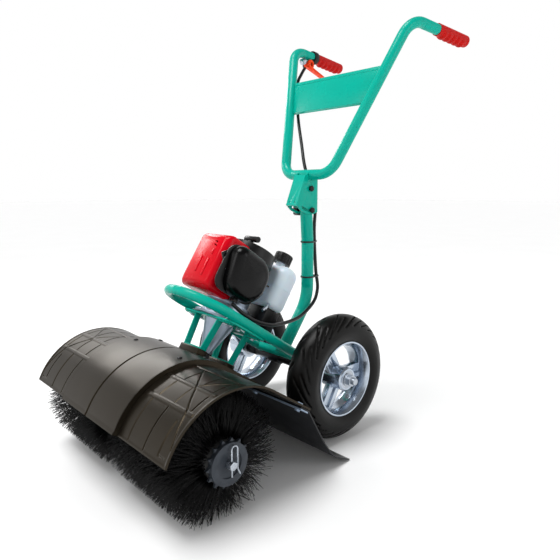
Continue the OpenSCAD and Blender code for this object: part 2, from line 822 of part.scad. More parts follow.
module axle() color(steel) at_axle() translate([0, 0, axle_z]) {
    tip = hub_end + gap + washer_t + nut_t + axle_end;
    lying(-hub_end, hub_end, axle_r);
    lying(-tip, tip, thread_r);
}
module axle_spacers() color(dark_steel) at_axle() translate([0, 0, axle_z]) for (s = [0, 1]) mirror([s, 0, 0])
    difference() {
        lying(axle_tube_half + weld, hub_start - gap, spacer_r);
        lying(axle_tube_half - over, hub_start + over, axle_r + fit);
    }
module axle_nuts() color(steel) at_axle() translate([0, 0, axle_z]) for (s = [0, 1]) mirror([s, 0, 0])
    difference() {
        union() {
            lying(hub_end + gap, hub_end + gap + washer_t, washer_r);
            lying_hex(hub_end + gap + washer_t, hub_end + gap + washer_t + nut_t, nut_af);
        }
        lying(hub_end - over, hub_end + washer_t + nut_t + 2 * over, thread_r + fit);
    }

// Wheels, drawn with their outer side up
well_r = rim_r - rim_depth;
module rim(side) color(alloy) at_wheel(side) difference() {
    union() {
        rotate_extrude() polygon([[well_r - rim_wall, -rim_w / 2], [rim_r, -rim_w / 2],
            [rim_r, rim_lip_t - rim_w / 2], [well_r, rim_lip_t + rim_slope - rim_w / 2],
            [well_r, rim_w / 2 - rim_lip_t - rim_slope], [rim_r, rim_w / 2 - rim_lip_t],
            [rim_r, rim_w / 2], [well_r - rim_wall, rim_w / 2]]);
        translate([0, 0, hub_out - hub_l]) cylinder(h = hub_l, r = hub_r);
        for (i = [0 : spoke_count - 1]) for (s = [-1, 1]) rotate([0, 0, 90 + 360 * i / spoke_count])
            translate([hub_r - rim_wall, s * spoke_gap - spoke_w / 2, -spoke_t / 2])
                cube([well_r - hub_r + rim_wall / 2, spoke_w, spoke_t]);
    }
    translate([0, 0, hub_out - hub_l - over]) cylinder(h = hub_l + 2 * over, r = axle_r + hub_clear);
    translate([0, 0, hub_out - bearing_w]) cylinder(h = bearing_w + over, r = bearing_r);
    translate([0, 0, hub_out - hub_l - over]) cylinder(h = bearing_w + over, r = bearing_r);
}
module rim_left() rim(1);
module rim_right() rim(-1);
tyre_mid_r = axle_z - tyre_w / 2;
function section(half_w, half_h, first) = [for (i = [0 : tyre_steps - 1])
    let (a = first + (180 - 2 * first) * i / (tyre_steps - 1))
    [tyre_mid_r + half_h * sin(a), half_w * cos(a)]];
bead_z = rim_w / 2 - rim_lip_t - gap;
bead_low_z = rim_w / 2 - rim_lip_t - rim_slope - gap;
module tyre(side) color(black) at_wheel(side) rotate_extrude() difference() {
    polygon(concat(section(tyre_w / 2, tyre_w / 2, -bead_angle), [[rim_r + gap, -bead_z],
        [well_r + gap, -bead_low_z], [well_r + gap, bead_low_z], [rim_r + gap, bead_z]]));
    polygon(concat(section(tyre_w / 2 - tyre_wall, tyre_w / 2 - tyre_wall, -bead_angle),
        [[well_r, tyre_wall - bead_low_z], [well_r, bead_low_z - tyre_wall]]));
}
module tyre_left() tyre(1);
module tyre_right() tyre(-1);
module bearings(side) color(steel) at_wheel(side)
    for (z = [hub_out - bearing_w, hub_out - hub_l])
        translate([0, 0, z]) ring(bearing_w, bearing_r - weld, axle_r + fit);
module bearings_left() bearings(1);
module bearings_right() bearings(-1);

// Clutch and drive, drawn along the drive axis
bell_low = plate_top + weld;
module clutch_housing() color(alloy) at_drive() difference() {
    rotate_extrude() polygon([[bell_r - bell_wall, bell_top], [bell_r, bell_top],
        [bell_r, bell_low + flange_t], [flange_r, bell_low + flange_t], [flange_r, bell_low],
        [cone_r, bell_low], [cone_r, plate_low], [neck_r, cone_low], [neck_r, neck_low],
        [shaft_r + shaft_clear, neck_low], [shaft_r + shaft_clear, bell_low - drive_bearing_w],
        [drive_bearing_r, bell_low - drive_bearing_w], [drive_bearing_r, bell_low + bell_floor],
        [bell_r - bell_wall, bell_low + bell_floor]]);
    flange_bolts_at() translate([0, 0, bell_low - over])
        cylinder(h = flange_t + 2 * over, r = small_bolt_r + fit);
}
module clutch_drum() color(steel) at_drive() rotate_extrude() polygon([[shaft_r + fit, drum_low - drum_hub_l],
    [drum_hub_r, drum_low - drum_hub_l], [drum_hub_r, drum_low], [drum_r, drum_low],
    [drum_r, drum_low + drum_h], [drum_r - drum_wall, drum_low + drum_h],
    [drum_r - drum_wall, drum_low + drum_wall],
    [shaft_r + fit, drum_low + drum_wall]]);
module clutch_shoes() color(dark_steel) at_drive() difference() {
    translate([0, 0, shoe_low]) ring(shoe_h, drum_r - drum_wall - shoe_room, crank_end_r + weld);
    block([-drum_r, -shoe_split / 2, shoe_low - over], [drum_r, shoe_split / 2, shoe_low + shoe_h + over]);
}
module drive_tube() color(dark_steel) at_drive() translate([0, 0, case_top - shaft_rise])
    ring(neck_low + shaft_rise - case_top, drive_tube_r, drive_tube_r - drive_tube_wall);
thread_out = worm_r + tooth_up;
// The worm's thread: a trapezoid swept along a right-handed helix, midway between two teeth at the wheel
module worm_thread() {
    count = worm_turns * worm_steps;
    foot_half = worm_pitch * thread_foot_share / 2;
    tip_half = worm_pitch * thread_tip_share / 2;
    corners = [for (i = [0 : count]) let (turn = i / worm_steps - worm_turns / 2, a = -90 + 360 * turn,
        z = worm_pitch * (turn + 0.5))
        each [for (c = [[shaft_r - fit, -foot_half], [thread_out, -tip_half], [thread_out, tip_half],
            [shaft_r - fit, foot_half]]) [c[0] * cos(a), c[0] * sin(a), z + c[1]]]];
    walls = [for (i = [0 : count - 1]) for (k = [0 : 3]) let (n = (k + 1) % 4, p = 4 * i, q = p + 4)
        each [[p + k, q + n, q + k], [p + k, p + n, q + n]]];
    last = 4 * count;
    ends = [[0, 2, 1], [0, 3, 2], [last, last + 1, last + 2], [last, last + 2, last + 3]];
    polyhedron(points = corners, faces = concat(walls, ends));
}
shaft_low = -worm_bore_half - drive_bearing_w + gap;
module drive_shaft() color(steel) at_drive() translate([0, 0, -shaft_rise]) {
    translate([0, 0, shaft_low]) cylinder(h = shaft_rise + drum_low + drum_wall - shaft_low, r = shaft_r);
    worm_thread();
}
// The two halves of the gear case meet on the machine's middle plane
module at_wheel_axis() translate([0, -worm_cd, 0]) children();
module gear_case_body() difference() {
    union() {
        translate([0, 0, -case_low])
            cylinder(h = case_low + case_top, r = thread_out + worm_room + case_wall);
        at_wheel_axis() {
            lying(-case_face, case_face, wheel_pitch_r + tooth_up + wheel_room + case_wall);
            lying(-boss_out, boss_out, boss_r);
            for (a = lug_angles) rotate([a, 0, 0]) translate([0, -lug_ring, 0])
                lying(-lug_half, lug_half, lug_r);
        }
    }
    translate([0, 0, -worm_bore_half]) cylinder(h = 2 * worm_bore_half, r = thread_out + worm_room);
    translate([0, 0, -worm_bore_half - drive_bearing_w])
        cylinder(h = worm_bore_half + drive_bearing_w + case_top + over, r = shaft_r + shaft_clear);
    at_wheel_axis() {
        lying(-case_face + case_wall, case_face - case_wall, wheel_pitch_r + tooth_up + wheel_room);
        lying(-boss_out - over, boss_out + over, hex_r + shaft_clear);
        for (s = [0, 1]) mirror([s, 0, 0])
            lying(shaft_bearing_in, shaft_bearing_in + shaft_bearing_w, shaft_bearing_r);
        for (a = lug_angles) rotate([a, 0, 0]) translate([0, -lug_ring, 0])
            lying(-lug_half - over, lug_half + over, small_bolt_r + fit);
    }
}
module case_half(side) color(alloy) at_drive() translate([0, 0, -shaft_rise]) intersection() {
    gear_case_body();
    block([side > 0 ? 0 : -boss_out - over, -worm_cd - lug_ring - boss_out, -lug_ring - boss_out],
        [side > 0 ? boss_out + over : 0, lug_ring, lug_ring + boss_out]);
}
module gear_case_left() case_half(1);
module gear_case_right() case_half(-1);
module worm_wheel() color(bronze) at_drive() translate([0, -worm_cd, -shaft_rise]) difference() {
    union() {
        lying(-wheel_hub_l / 2, wheel_hub_l / 2, wheel_hub_r);
        across(-wheel_face / 2, wheel_face / 2) polygon([for (i = [0 : wheel_teeth - 1])
            let (a = 360 * i / wheel_teeth, root_turn = 180 * tooth_share / wheel_teeth,
                tip_turn = 180 * tooth_tip_share / wheel_teeth)
            each [for (p = [[wheel_pitch_r - tooth_down, a - root_turn],
                [wheel_pitch_r + tooth_up, a - tip_turn], [wheel_pitch_r + tooth_up, a + tip_turn],
                [wheel_pitch_r - tooth_down, a + root_turn]])
                p[0] * [cos(p[1]), sin(p[1])]]]);
    }
    lying(-wheel_hub_l, wheel_hub_l, hex_r + fit);
}
module brush_shaft() color(steel) at_brush() difference() {
    union() {
        lying(-boss_out - gap, boss_out + gap, hex_r);
        lying_hex(-core_end - shaft_end, core_end + shaft_end, hex_d * cos(30));
    }
    for (s = [-1, 1]) translate([s * pin_at, 0, -hex_d]) cylinder(h = 2 * hex_d, r = pin_r + fit);
}
module shaft_bearings() color(steel) at_drive() {
    translate([0, -worm_cd, -shaft_rise]) for (s = [0, 1]) mirror([s, 0, 0]) difference() {
        lying(shaft_bearing_in, shaft_bearing_in + shaft_bearing_w, shaft_bearing_r - weld);
        lying(0, boss_out, hex_r + fit);
    }
    translate([0, 0, bell_low - drive_bearing_w])
        ring(drive_bearing_w, drive_bearing_r - weld, shaft_r + fit);
    translate([0, 0, neck_low]) ring(drive_bearing_w, shaft_r + shaft_clear - weld, shaft_r + fit);
    translate([0, 0, -shaft_rise - worm_bore_half - drive_bearing_w])
        ring(drive_bearing_w, shaft_r + shaft_clear - weld, shaft_r + fit);
}

// Brush: the left half is drawn, and the right one mirrors it
module brush_core() color(dark_steel) at_brush() difference() {
    union() {
        lying(core_start, core_end, core_r);
        lying(core_end - hub_disc_t, core_end, hub_disc_r);
        across(core_end - hub_disc_t - star_t, core_end - hub_disc_t) polygon([for (i = [0 : star_teeth - 1])
            let (a = 360 * i / star_teeth, half = 90 / star_teeth)
            each [hub_disc_r * [cos(a - half), sin(a - half)], (hub_disc_r + star_out) * [cos(a), sin(a)],
                hub_disc_r * [cos(a + half), sin(a + half)]]]);
    }
    lying(core_start + hub_disc_t, core_end - 2 * hub_disc_t, core_r - core_wall);
    lying_hex(core_start - over, core_end + over, (hex_d + 2 * weld) * cos(30));
    lying(core_end - hub_dish, core_end + over, hub_dish_r);
}
module brush_core_left() brush_core();
module brush_core_right() mirror([1, 0, 0]) brush_core();
function around(x, r, a) = [x, r * cos(a), r * sin(a)];
function beside(p, a, dx, dt) = p + [dx, -dt * sin(a), dt * cos(a)];
// A sleeve with a three-sided strand on each of its cells, as one closed surface
module bristles() color(black) at_brush() {
    n = strands_around;
    rows = strand_rows;
    pitch = (sleeve_end - sleeve_start) / rows;
    twist = 180 / n;
    bore_r = (core_r + gap) / cos(180 / n);
    grid = [for (j = [0 : rows]) for (i = [0 : n - 1])
        around(sleeve_start + j * pitch, sleeve_r, 360 * i / n + j * twist)];
    bore = [for (j = [0, rows]) for (i = [0 : n - 1]) around(sleeve_start + j * pitch, bore_r, 360 * i / n)];
    strands = [for (j = [0 : rows - 1]) for (i = [0 : n - 1])
        let (a = 360 * (i + 0.5) / n + (j + 0.5) * twist, x = sleeve_start + (j + 0.5) * pitch)
        each [for (e = [[sleeve_r * cos(180 / n), strand_foot], [brush_r, strand_tip]])
            let (p = around(x, e[0], a), low = -e[1] * strand_base_share)
            each [beside(p, a, -e[1], low), beside(p, a, e[1], low), beside(p, a, 0, e[1])]]];
    bore_at = (rows + 1) * n;
    strand_at = bore_at + 2 * n;
    skin = [for (j = [0 : rows - 1]) for (i = [0 : n - 1]) let (k = (i + 1) % n, q0 = j * n + i, q1 = q0 + n,
        q2 = (j + 1) * n + k, q3 = j * n + k, b0 = strand_at + 6 * (j * n + i), b1 = b0 + 1, b2 = b0 + 2,
        t0 = b0 + 3, t1 = b0 + 4, t2 = b0 + 5)
        each [[q0, q1, b0], [q1, b1, b0], [q1, q2, b1], [q2, b2, b1], [q2, q3, b2], [q3, q0, b2],
            [q0, b0, b2], [b0, b1, t1], [b0, t1, t0], [b1, b2, t2], [b1, t2, t1], [b2, b0, t0],
            [b2, t0, t2], [t0, t1, t2]]];
    far_turn = floor(rows / 2);
    tube = [for (i = [0 : n - 1]) let (k = (i + 1) % n, g = rows * n, s = bore_at, e = bore_at + n,
        fi = (i + far_turn) % n, fk = (k + far_turn) % n)
        each [[i, k, s + k], [i, s + k, s + i], [g + k, g + i, e + fi], [g + k, e + fi, e + fk],
            [s + i, s + k, e + k], [s + i, e + k, e + i]]];
    polyhedron(points = concat(grid, bore, strands), faces = concat(skin, tube));
}
module bristles_left() bristles();
module bristles_right() mirror([1, 0, 0]) bristles();
// A spring pin: one leg through the shaft, a round top, and a leg outside that flares at its end
module hairpin() {
    translate([0, 0, -pin_low]) cylinder(h = pin_low + pin_high + over, r = pin_r);
    translate([0, pin_leg / 2, pin_high]) rotate([90, 0, 90]) rotate_extrude(angle = 180)
        translate([pin_leg / 2, 0]) circle(r = pin_r - 2 * weld);
    bent_bar([[0, pin_leg, pin_high + over], [0, pin_leg, -pin_low / 2],
        [0, pin_leg + pin_low / 4, -pin_low]], [0, pin_leg, 0], pin_r);
}
module hairpins() color(steel) at_brush() for (s = [-1, 1]) translate([s * pin_at, 0, 0]) hairpin();

// Hood, drawn as the outline of its arch and straight tail
function hood_line(r) = concat([for (i = [0 : arch_steps])
    let (a = lip_angle + (tail_angle - lip_angle) * i / arch_steps) arch + r * [cos(a), sin(a)]],
    [arch + r * [cos(tail_angle), sin(tail_angle)] + tail_l * [cos(tilt), -sin(tilt)]]);
module hood_outline(r) polygon(concat(hood_line(r), reverse(hood_line(r - hood_t))));
module band_side(x0, x1) at_axle() across(x0, x1)
    polygon(concat(hood_line(hood_r + band_raise), reverse(hood_line(hood_r - hood_t))));
module hood() color(hood_black) difference() {
    union() {
        at_axle() across(-hood_w / 2, -band_half) hood_outline(hood_r);
        at_axle() across(band_half, hood_w / 2) hood_outline(hood_r);
        at_axle() across(-band_half, band_half) hood_outline(hood_r + band_raise);
        band_side(-band_half, hood_t - band_half);
        band_side(band_half - hood_t, band_half);
        at_drive() for (y = [front_strap_y, rear_strap_y])
            block([-strap_low_half - hood_pad_room, y - strap_w / 2 - hood_pad_room, seat_z - hood_t],
                [strap_low_half + hood_pad_room, y + strap_w / 2 + hood_pad_room, seat_z + hood_pad_h]);
    }
    at_drive() translate([0, 0, neck_low - shaft_rise / 2]) cylinder(h = shaft_rise / 2, r = tube_hole_r);
    strip_bolts_at() cylinder(h = 4 * hood_t, r = small_bolt_r + fit, center = true);
}
tail_in = hood_line(hood_r - hood_t)[arch_steps + 1];
tail_dir = [cos(tilt), -sin(tilt)];
tail_down = [-sin(tilt), -cos(tilt)];
lap_down = tail_down * (flap_t / 2 + weld);
flap_line = concat([tail_in - tail_dir * flap_lap + lap_down],
    smooth([tail_in + lap_down, [tail_in[0] + flap_knee_back, flap_knee_up],
    [tail_in[0] + flap_tip_back, flap_clear]], flap_steps));
module flap() color(black) difference() {
    at_axle() across(flap_side - hood_w / 2, hood_w / 2 - flap_side)
        polygon(sheet_outline(flap_line, flap_t));
    strip_bolts_at() cylinder(h = 4 * hood_t, r = small_bolt_r + fit, center = true);
}
// The bolts' places along the hood's tail, each with its axis square to the tail
strip_mid = tail_in - tail_dir * flap_lap / 2;
module strip_bolts_at() for (share = strip_bolt_shares) at_axle()
    translate([share * (hood_w / 2 - strip_edge), strip_mid[0], strip_mid[1]]) rotate([-tilt, 0, 0])
        children();
strip_high = -flap_t - 2 * weld;
module flap_strip() color(steel) {
    difference() {
        at_axle() translate([0, strip_mid[0], strip_mid[1]]) rotate([-tilt, 0, 0])
            block([flap_side - hood_w / 2, -strip_w / 2, strip_high - strip_t],
                [hood_w / 2 - flap_side, strip_w / 2, strip_high]);
        strip_bolts_at() cylinder(h = 4 * hood_t, r = small_bolt_r, center = true);
    }
    strip_bolts_at() {
        translate([0, 0, strip_high - strip_t - small_head_t])
            cylinder(h = hood_t + small_head_t + strip_t - strip_high, r = small_bolt_r);
        translate([0, 0, strip_high - strip_t - small_head_t]) cylinder(h = small_head_t, r = small_head_r);
        translate([0, 0, hood_t]) cylinder(h = small_head_t, r = small_head_r);
    }
}

// Engine, drawn along the drive axis with its head forward
module crankcase() color(alloy) at_drive() difference() {
    union() {
        translate([0, 0, case_low_z]) cylinder(h = case_h, r = case_r);
        translate([0, 0, case_low_z]) cylinder(h = case_flange_t, r = case_flange_r);
        translate([0, 0, crank_z]) rotate([90, 0, 0]) cylinder(h = cyl_out, r = cyl_r);
        for (i = [0 : fin_count - 1])
            block([-fin_half, -fin_first - i * fin_pitch - fin_t, crank_z - fin_half],
                [fin_half, -fin_first - i * fin_pitch, crank_z + fin_half]);
        block([-head_half, -cyl_out - head_l, crank_z - head_half],
            [head_half, -cyl_out, crank_z + head_half]);
        block([-pad_half, 0, pad_low], [pad_half, tank_front - weld, pad_high]);
    }
    translate([0, 0, case_low_z + case_shell]) cylinder(h = case_h - 2 * case_shell, r = case_r - case_shell);
    translate([0, 0, case_low_z - over]) cylinder(h = case_h + 2 * over, r = crank_r + weld);
    translate([0, 0, crank_z]) rotate([90, 0, 0]) cylinder(h = cyl_out - over, r = cyl_bore_r);
}
module crankshaft() color(steel) at_drive() {
    translate([0, 0, case_low_z]) cylinder(h = flywheel_low + flywheel_t - case_low_z, r = crank_r);
    translate([0, 0, shoe_low]) cylinder(h = case_low_z - shoe_low - gap, r = crank_end_r);
    translate([0, 0, case_low_z - over]) cylinder(h = over, r = crank_r);
    for (s = [-1, 1]) translate([0, 0, crank_z + s * web_split - web_t / 2]) cylinder(h = web_t, r = web_r);
    translate([0, -throw_r, crank_z - web_split]) cylinder(h = 2 * web_split, r = pin_crank_r);
}
module flywheel() color(steel) at_drive() translate([0, 0, flywheel_low]) difference() {
    union() {
        cylinder(h = flywheel_t, r = flywheel_r);
        for (i = [0 : fan_blades - 1]) rotate([0, 0, 360 * i / fan_blades])
            block([flywheel_r / 2, -fan_t / 2, 0], [flywheel_r - fan_t, fan_t / 2, flywheel_t + fan_h]);
    }
    translate([0, 0, -over]) cylinder(h = flywheel_t + fan_h + 2 * over, r = crank_r + fit);
}
recoil_low = case_top_z + weld;
module recoil_housing() color(black) at_drive() difference() {
    union() {
        translate([0, 0, recoil_low]) cylinder(h = recoil_top - recoil_low, r = recoil_r);
        translate([rope_x, rope_y, recoil_top]) cylinder(h = rope_boss_h, r = rope_boss_r);
    }
    translate([0, 0, recoil_low + recoil_wall])
        cylinder(h = recoil_top - recoil_low - 2 * recoil_wall, r = recoil_r - recoil_wall);
    translate([0, 0, recoil_low - over]) cylinder(h = recoil_wall + 2 * over, r = crank_bearing_r);
    for (i = [0 : vent_count - 1]) rotate([0, 0, 360 * (i + 0.5) / vent_count])
        block([recoil_r * vent_in_share, -vent_w / 2, recoil_top - recoil_wall - over],
            [recoil_r * vent_out_share, vent_w / 2, recoil_top + over]);
    translate([rope_x, rope_y, recoil_top - rope_stub])
        cylinder(h = rope_stub + rope_boss_h + over, r = rope_r + gap);
}
module starter_grip() color(black) at_drive() translate([rope_x, rope_y, recoil_top + rope_boss_h + gap]) {
    translate([0, 0, -rope_stub + rope_boss_h]) cylinder(h = rope_stub, r = rope_r);
    translate([0, 0, pull_r]) lying(-pull_l / 2, pull_l / 2, pull_r);
    cylinder(h = pull_r, r = pull_r * pull_neck_share);
}
cover_high = cover_low + cover_h;
module cover_shape(inset, back) rounded_block(
    [cover_x - cover_w / 2 + inset, -cover_front + inset, cover_low + inset],
    [cover_x + cover_w / 2 - inset, back, cover_high - inset], cover_round - inset);
module top_cover() color(red) at_drive() difference() {
    cover_shape(0, cover_back + 2 * cover_round);
    cover_shape(cover_wall, cover_back + 3 * cover_round);
    block([-cover_w, cover_back, cover_low - over], [cover_w, cover_front, cover_high + over]);
    translate([0, 0, recoil_low - gap]) cylinder(h = cover_high, r = recoil_r + gap);
    cylinder(h = case_low_z + case_flange_t + gap, r = case_flange_r + gap);
    translate([0, 0, case_low_z]) cylinder(h = case_h + gap, r = case_r + gap);
}
base_x = carb_x + carb_w + gap;
cover_near = cover_x + cover_w / 2;
module cleaner_outline(inset) offset(r = cleaner_round - inset) offset(delta = -cleaner_round)
    translate([cleaner_front, cleaner_low]) square([cleaner_l, cleaner_h]);
module air_cleaner_base() color(black) at_drive() difference() {
    union() {
        across(base_x, base_x + base_t) cleaner_outline(0);
        block([base_x, cable_tip[1] - clip_w / 2, cable_tip[2] + cable_r + weld],
            [base_x + base_t + clip_w, cable_tip[1] + clip_w / 2, cleaner_low - gap]);
        block([base_x, cable_tip[1] - clip_w / 2, cable_tip[2] + cable_r + weld],
            [base_x + base_t, cable_tip[1] + clip_w / 2, cleaner_low + clip_drop]);
        block([cover_near + gap, inlet_front, inlet_low], [base_x + base_t, inlet_back, inlet_high]);
    }
    translate([0, carb_mid, carb_low + carb_h / 2]) lying(base_x - over, base_x + base_t + over, intake_r);
}
cleaner_x = base_x + base_t + weld;
module cleaner_shape(inset) hull() {
    across(cleaner_x - over, cleaner_x + cleaner_d * (1 - cleaner_crown_share)) cleaner_outline(inset);
    across(cleaner_x, cleaner_x + cleaner_d - inset)
        translate([cleaner_front + cleaner_l / 2, cleaner_low + cleaner_h / 2]) scale(cleaner_crown_share)
            translate([-cleaner_front - cleaner_l / 2, -cleaner_low - cleaner_h / 2]) cleaner_outline(inset);
}
module air_cleaner_cover() color(black) at_drive() difference() {
    cleaner_shape(0);
    cleaner_shape(cleaner_wall);
    block([0, -2 * cleaner_l, 0], [cleaner_x, 2 * cleaner_l, 2 * cleaner_h]);
}
carb_pin_x = carb_x + carb_w / 2;
carb_high = carb_low + carb_h;
module carburettor() color(alloy) at_drive() difference() {
    union() {
        block([carb_x, carb_mid - carb_l / 2, carb_low], [carb_x + carb_w, carb_mid + carb_l / 2, carb_high]);
        translate([carb_pin_x, throttle_pin_y, carb_low - arm_pin_l]) cylinder(h = arm_pin_l, r = arm_pin_r);
        translate([carb_pin_x, choke_pin_y, carb_high]) cylinder(h = arm_pin_l, r = arm_pin_r);
    }
    translate([0, carb_mid, carb_low + carb_h / 2])
        lying(carb_pin_x, carb_x + carb_w + over, intake_r * throat_share);
}
module pin_lever(y, z, turn) translate([carb_pin_x, y, z]) difference() {
    union() {
        cylinder(h = arm_t, r = arm_pin_r + arm_t);
        rotate([0, 0, turn]) block([0, -arm_w / 2, 0], [arm_l, arm_w / 2, arm_t]);
    }
    translate([0, 0, -over]) cylinder(h = arm_t + 2 * over, r = arm_pin_r + fit);
}
module throttle_arm() color(steel) at_drive()
    pin_lever(throttle_pin_y, carb_low - gap - arm_t, throttle_arm_turn);
module choke_lever() color(black) at_drive() pin_lever(choke_pin_y, carb_high + gap, choke_lever_turn);
muffler_near = cover_x - cover_w / 2 - gap;
module muffler() color(dark_steel) at_drive() {
    rounded_block([muffler_near - muffler_x, muffler_front, muffler_low],
        [muffler_near, muffler_front + muffler_l, muffler_low + muffler_h], muffler_round);
    translate([muffler_near - muffler_x / 2, muffler_front + muffler_l / 2, muffler_low - outlet_l])
        cylinder(h = outlet_l + muffler_round, r = outlet_r);
}
module tank_shape(inset) rounded_block([tank_x - tank_w / 2 + inset, tank_front + inset, tank_low + inset],
    [tank_x + tank_w / 2 - inset, tank_front + tank_d - inset, tank_low + tank_h - inset],
    tank_round - inset);
tank_top = tank_low + tank_h;
module at_filler(z) translate([filler_x, tank_front + filler_back, z]) children();
module fuel_tank() color(tank_white) at_drive() difference() {
    union() {
        tank_shape(0);
        at_filler(tank_top - tank_wall) cylinder(h = tank_wall + filler_up, r = filler_r);
    }
    tank_shape(tank_wall);
    at_filler(tank_top - tank_round) cylinder(h = tank_round + filler_up + over, r = neck_bore_r);
}
module fuel_cap() color(black) at_drive() at_filler(tank_top + filler_up - cap_lap) difference() {
    union() {
        cylinder(h = cap_h, r = cap_r - cap_rib);
        for (i = [0 : cap_ribs - 1]) rotate([0, 0, 360 * i / cap_ribs]) translate([cap_r - cap_rib, 0, 0])
            cylinder(h = cap_h - cap_rib, r = cap_rib);
    }
    translate([0, 0, -over]) cylinder(h = cap_lap + gap + over, r = filler_r + fit);
}
module engine_stand() color(black) at_drive() difference() {
    block([stand_x - stand_w / 2, tank_front + stand_inset, stand_low],
        [stand_x + stand_w / 2, tank_front + stand_inset + stand_d, tank_low - weld]);
    block([stand_x - stand_w / 2 + stand_wall, tank_front + stand_inset + stand_wall, stand_low - over],
        [stand_x + stand_w / 2 - stand_wall, tank_front + stand_inset + stand_d - stand_wall,
            tank_low - stand_wall]);
}

handlebar();
cross_panel();
grip_left();
grip_right();
throttle_clamp();
throttle_screw();
throttle_lever();
handle_bracket();
bracket_bolts();
lock_knob();
throttle_cable();
cable_ties();
riser_tube();
frame_loop();
engine_plate();
hood_straps();
frame_bolts();
axle_tube();
axle();
axle_spacers();
axle_nuts();
rim_left();
rim_right();
tyre_left();
tyre_right();
bearings_left();
bearings_right();
clutch_housing();
clutch_drum();
clutch_shoes();
drive_tube();
drive_shaft();
gear_case_left();
gear_case_right();
worm_wheel();
brush_shaft();
shaft_bearings();
brush_core_left();
brush_core_right();
bristles_left();
bristles_right();
hairpins();
hood();
flap();
flap_strip();
crankcase();
crankshaft();
flywheel();
recoil_housing();
starter_grip();
top_cover();
air_cleaner_base();
air_cleaner_cover();
carburettor();
throttle_arm();
choke_lever();
muffler();
fuel_tank();
fuel_cap();
engine_stand();
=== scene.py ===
# %% [markdown]
# # A walk-behind power sweeper, dressed in Blender
# The machine has an engine on a looped tube frame. A shaft and a worm gear turn a bristle brush under a
# hood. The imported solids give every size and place. This lesson adds what solids lack: rounded edges,
# moulded relief, tread, thousands of bristles, and the finish of each surface.

# %% Load the frame
import json
import math

import bpy
import numpy as np
from mathutils import Matrix, Vector


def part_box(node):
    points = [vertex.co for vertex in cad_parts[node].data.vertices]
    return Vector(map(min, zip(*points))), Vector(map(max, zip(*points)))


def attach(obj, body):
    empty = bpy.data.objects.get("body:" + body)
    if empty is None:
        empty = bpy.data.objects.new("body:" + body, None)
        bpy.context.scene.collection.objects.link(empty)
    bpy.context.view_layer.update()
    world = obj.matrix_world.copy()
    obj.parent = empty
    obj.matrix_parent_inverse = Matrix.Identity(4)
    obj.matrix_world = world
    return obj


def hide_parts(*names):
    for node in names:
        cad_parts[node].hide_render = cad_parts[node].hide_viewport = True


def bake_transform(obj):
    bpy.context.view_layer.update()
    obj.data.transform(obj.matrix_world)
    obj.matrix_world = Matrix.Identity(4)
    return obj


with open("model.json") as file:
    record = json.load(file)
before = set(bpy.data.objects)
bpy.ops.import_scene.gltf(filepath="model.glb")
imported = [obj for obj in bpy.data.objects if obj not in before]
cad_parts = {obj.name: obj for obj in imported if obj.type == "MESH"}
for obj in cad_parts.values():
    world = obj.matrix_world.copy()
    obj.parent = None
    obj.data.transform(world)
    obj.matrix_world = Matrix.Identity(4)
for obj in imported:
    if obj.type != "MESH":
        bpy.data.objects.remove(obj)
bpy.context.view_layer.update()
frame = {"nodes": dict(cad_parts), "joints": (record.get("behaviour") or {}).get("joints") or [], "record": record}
MM = 0.001
SIDES = ("left", "right")

# %% [markdown]
# ## Where things are
# Joints hold the axes that the real machine turns about, so they are the best rulers. The drive axis leans
# back with the engine. Engine pieces are modelled upright around it, in millimetres, and then put in place.

# %% Axes read from the joints
joints = {j["name"]: j for j in frame["joints"]}


def axis_frame(origin, up):
    """A place whose Z runs along an axis and whose X stays the machine's own."""
    z = Vector(up).normalized()
    x = Vector((1, 0, 0))
    y = z.cross(x)
    turn = Matrix((x, y, z)).transposed().to_4x4()
    return Matrix.Translation(Vector(origin)) @ turn


DRIVE = axis_frame(joints["drive_spin"]["pos_m"], joints["drive_spin"]["axis"])
BRUSH = Vector(joints["brush_spin"]["pos_m"])
WHEELS = {side: Vector(joints[f"wheel_{side}_spin"]["pos_m"]) for side in SIDES}
lean = math.degrees(math.acos(DRIVE.col[2].z))
print(f"the drive axis leans {lean:.1f} degrees, the brush axis is {BRUSH.z / MM:.0f} mm up")

# %% [markdown]
# ## Camera, floor and light
# The camera stands where the photograph was taken, found from the wheels and the brush. A pale floor runs
# far back, and large soft lights give long highlights on the tubes, the hood and the engine. The plain
# colour transform keeps the paint as strong as it is on the real machine.

# %% Camera
CAMERA_AT = Vector((0.97106, -0.87845, 0.58589))
CAMERA_AZIMUTH = math.radians(47.06)
CAMERA_DOWN = math.radians(9.51)
CAMERA_LENS = 34.14
SENSOR = 36.0
NEAREST = 0.01
forward = Vector((-math.sin(CAMERA_AZIMUTH) * math.cos(CAMERA_DOWN),
                  math.cos(CAMERA_AZIMUTH) * math.cos(CAMERA_DOWN), -math.sin(CAMERA_DOWN)))


def clear_selection():
    if bpy.context.object and bpy.context.object.mode != "OBJECT":
        bpy.ops.object.mode_set(mode="OBJECT")
    bpy.ops.object.select_all(action="DESELECT")


clear_selection()
bpy.ops.object.camera_add(location=CAMERA_AT, rotation=forward.to_track_quat("-Z", "Y").to_euler())
camera = bpy.context.object
camera.name = "photo_camera"
camera.data.lens = CAMERA_LENS
camera.data.sensor_width = SENSOR
camera.data.clip_start = NEAREST
bpy.context.scene.camera = camera
print("camera height", round(CAMERA_AT.z, 3))

# %% Floor
FLOOR_HALF = 30.0
FLOOR_SINK = 0.0006
clear_selection()
bpy.ops.mesh.primitive_plane_add(size=2 * FLOOR_HALF, location=(0, 0, -FLOOR_SINK))
floor = bpy.context.object
floor.name = "floor"
print("floor side:", 2 * FLOOR_HALF, "m")

# %% Lights
MIDDLE = (0.0, 0.0, 0.45)
HOOD_CROWN = (0.0, -0.39, 0.25)
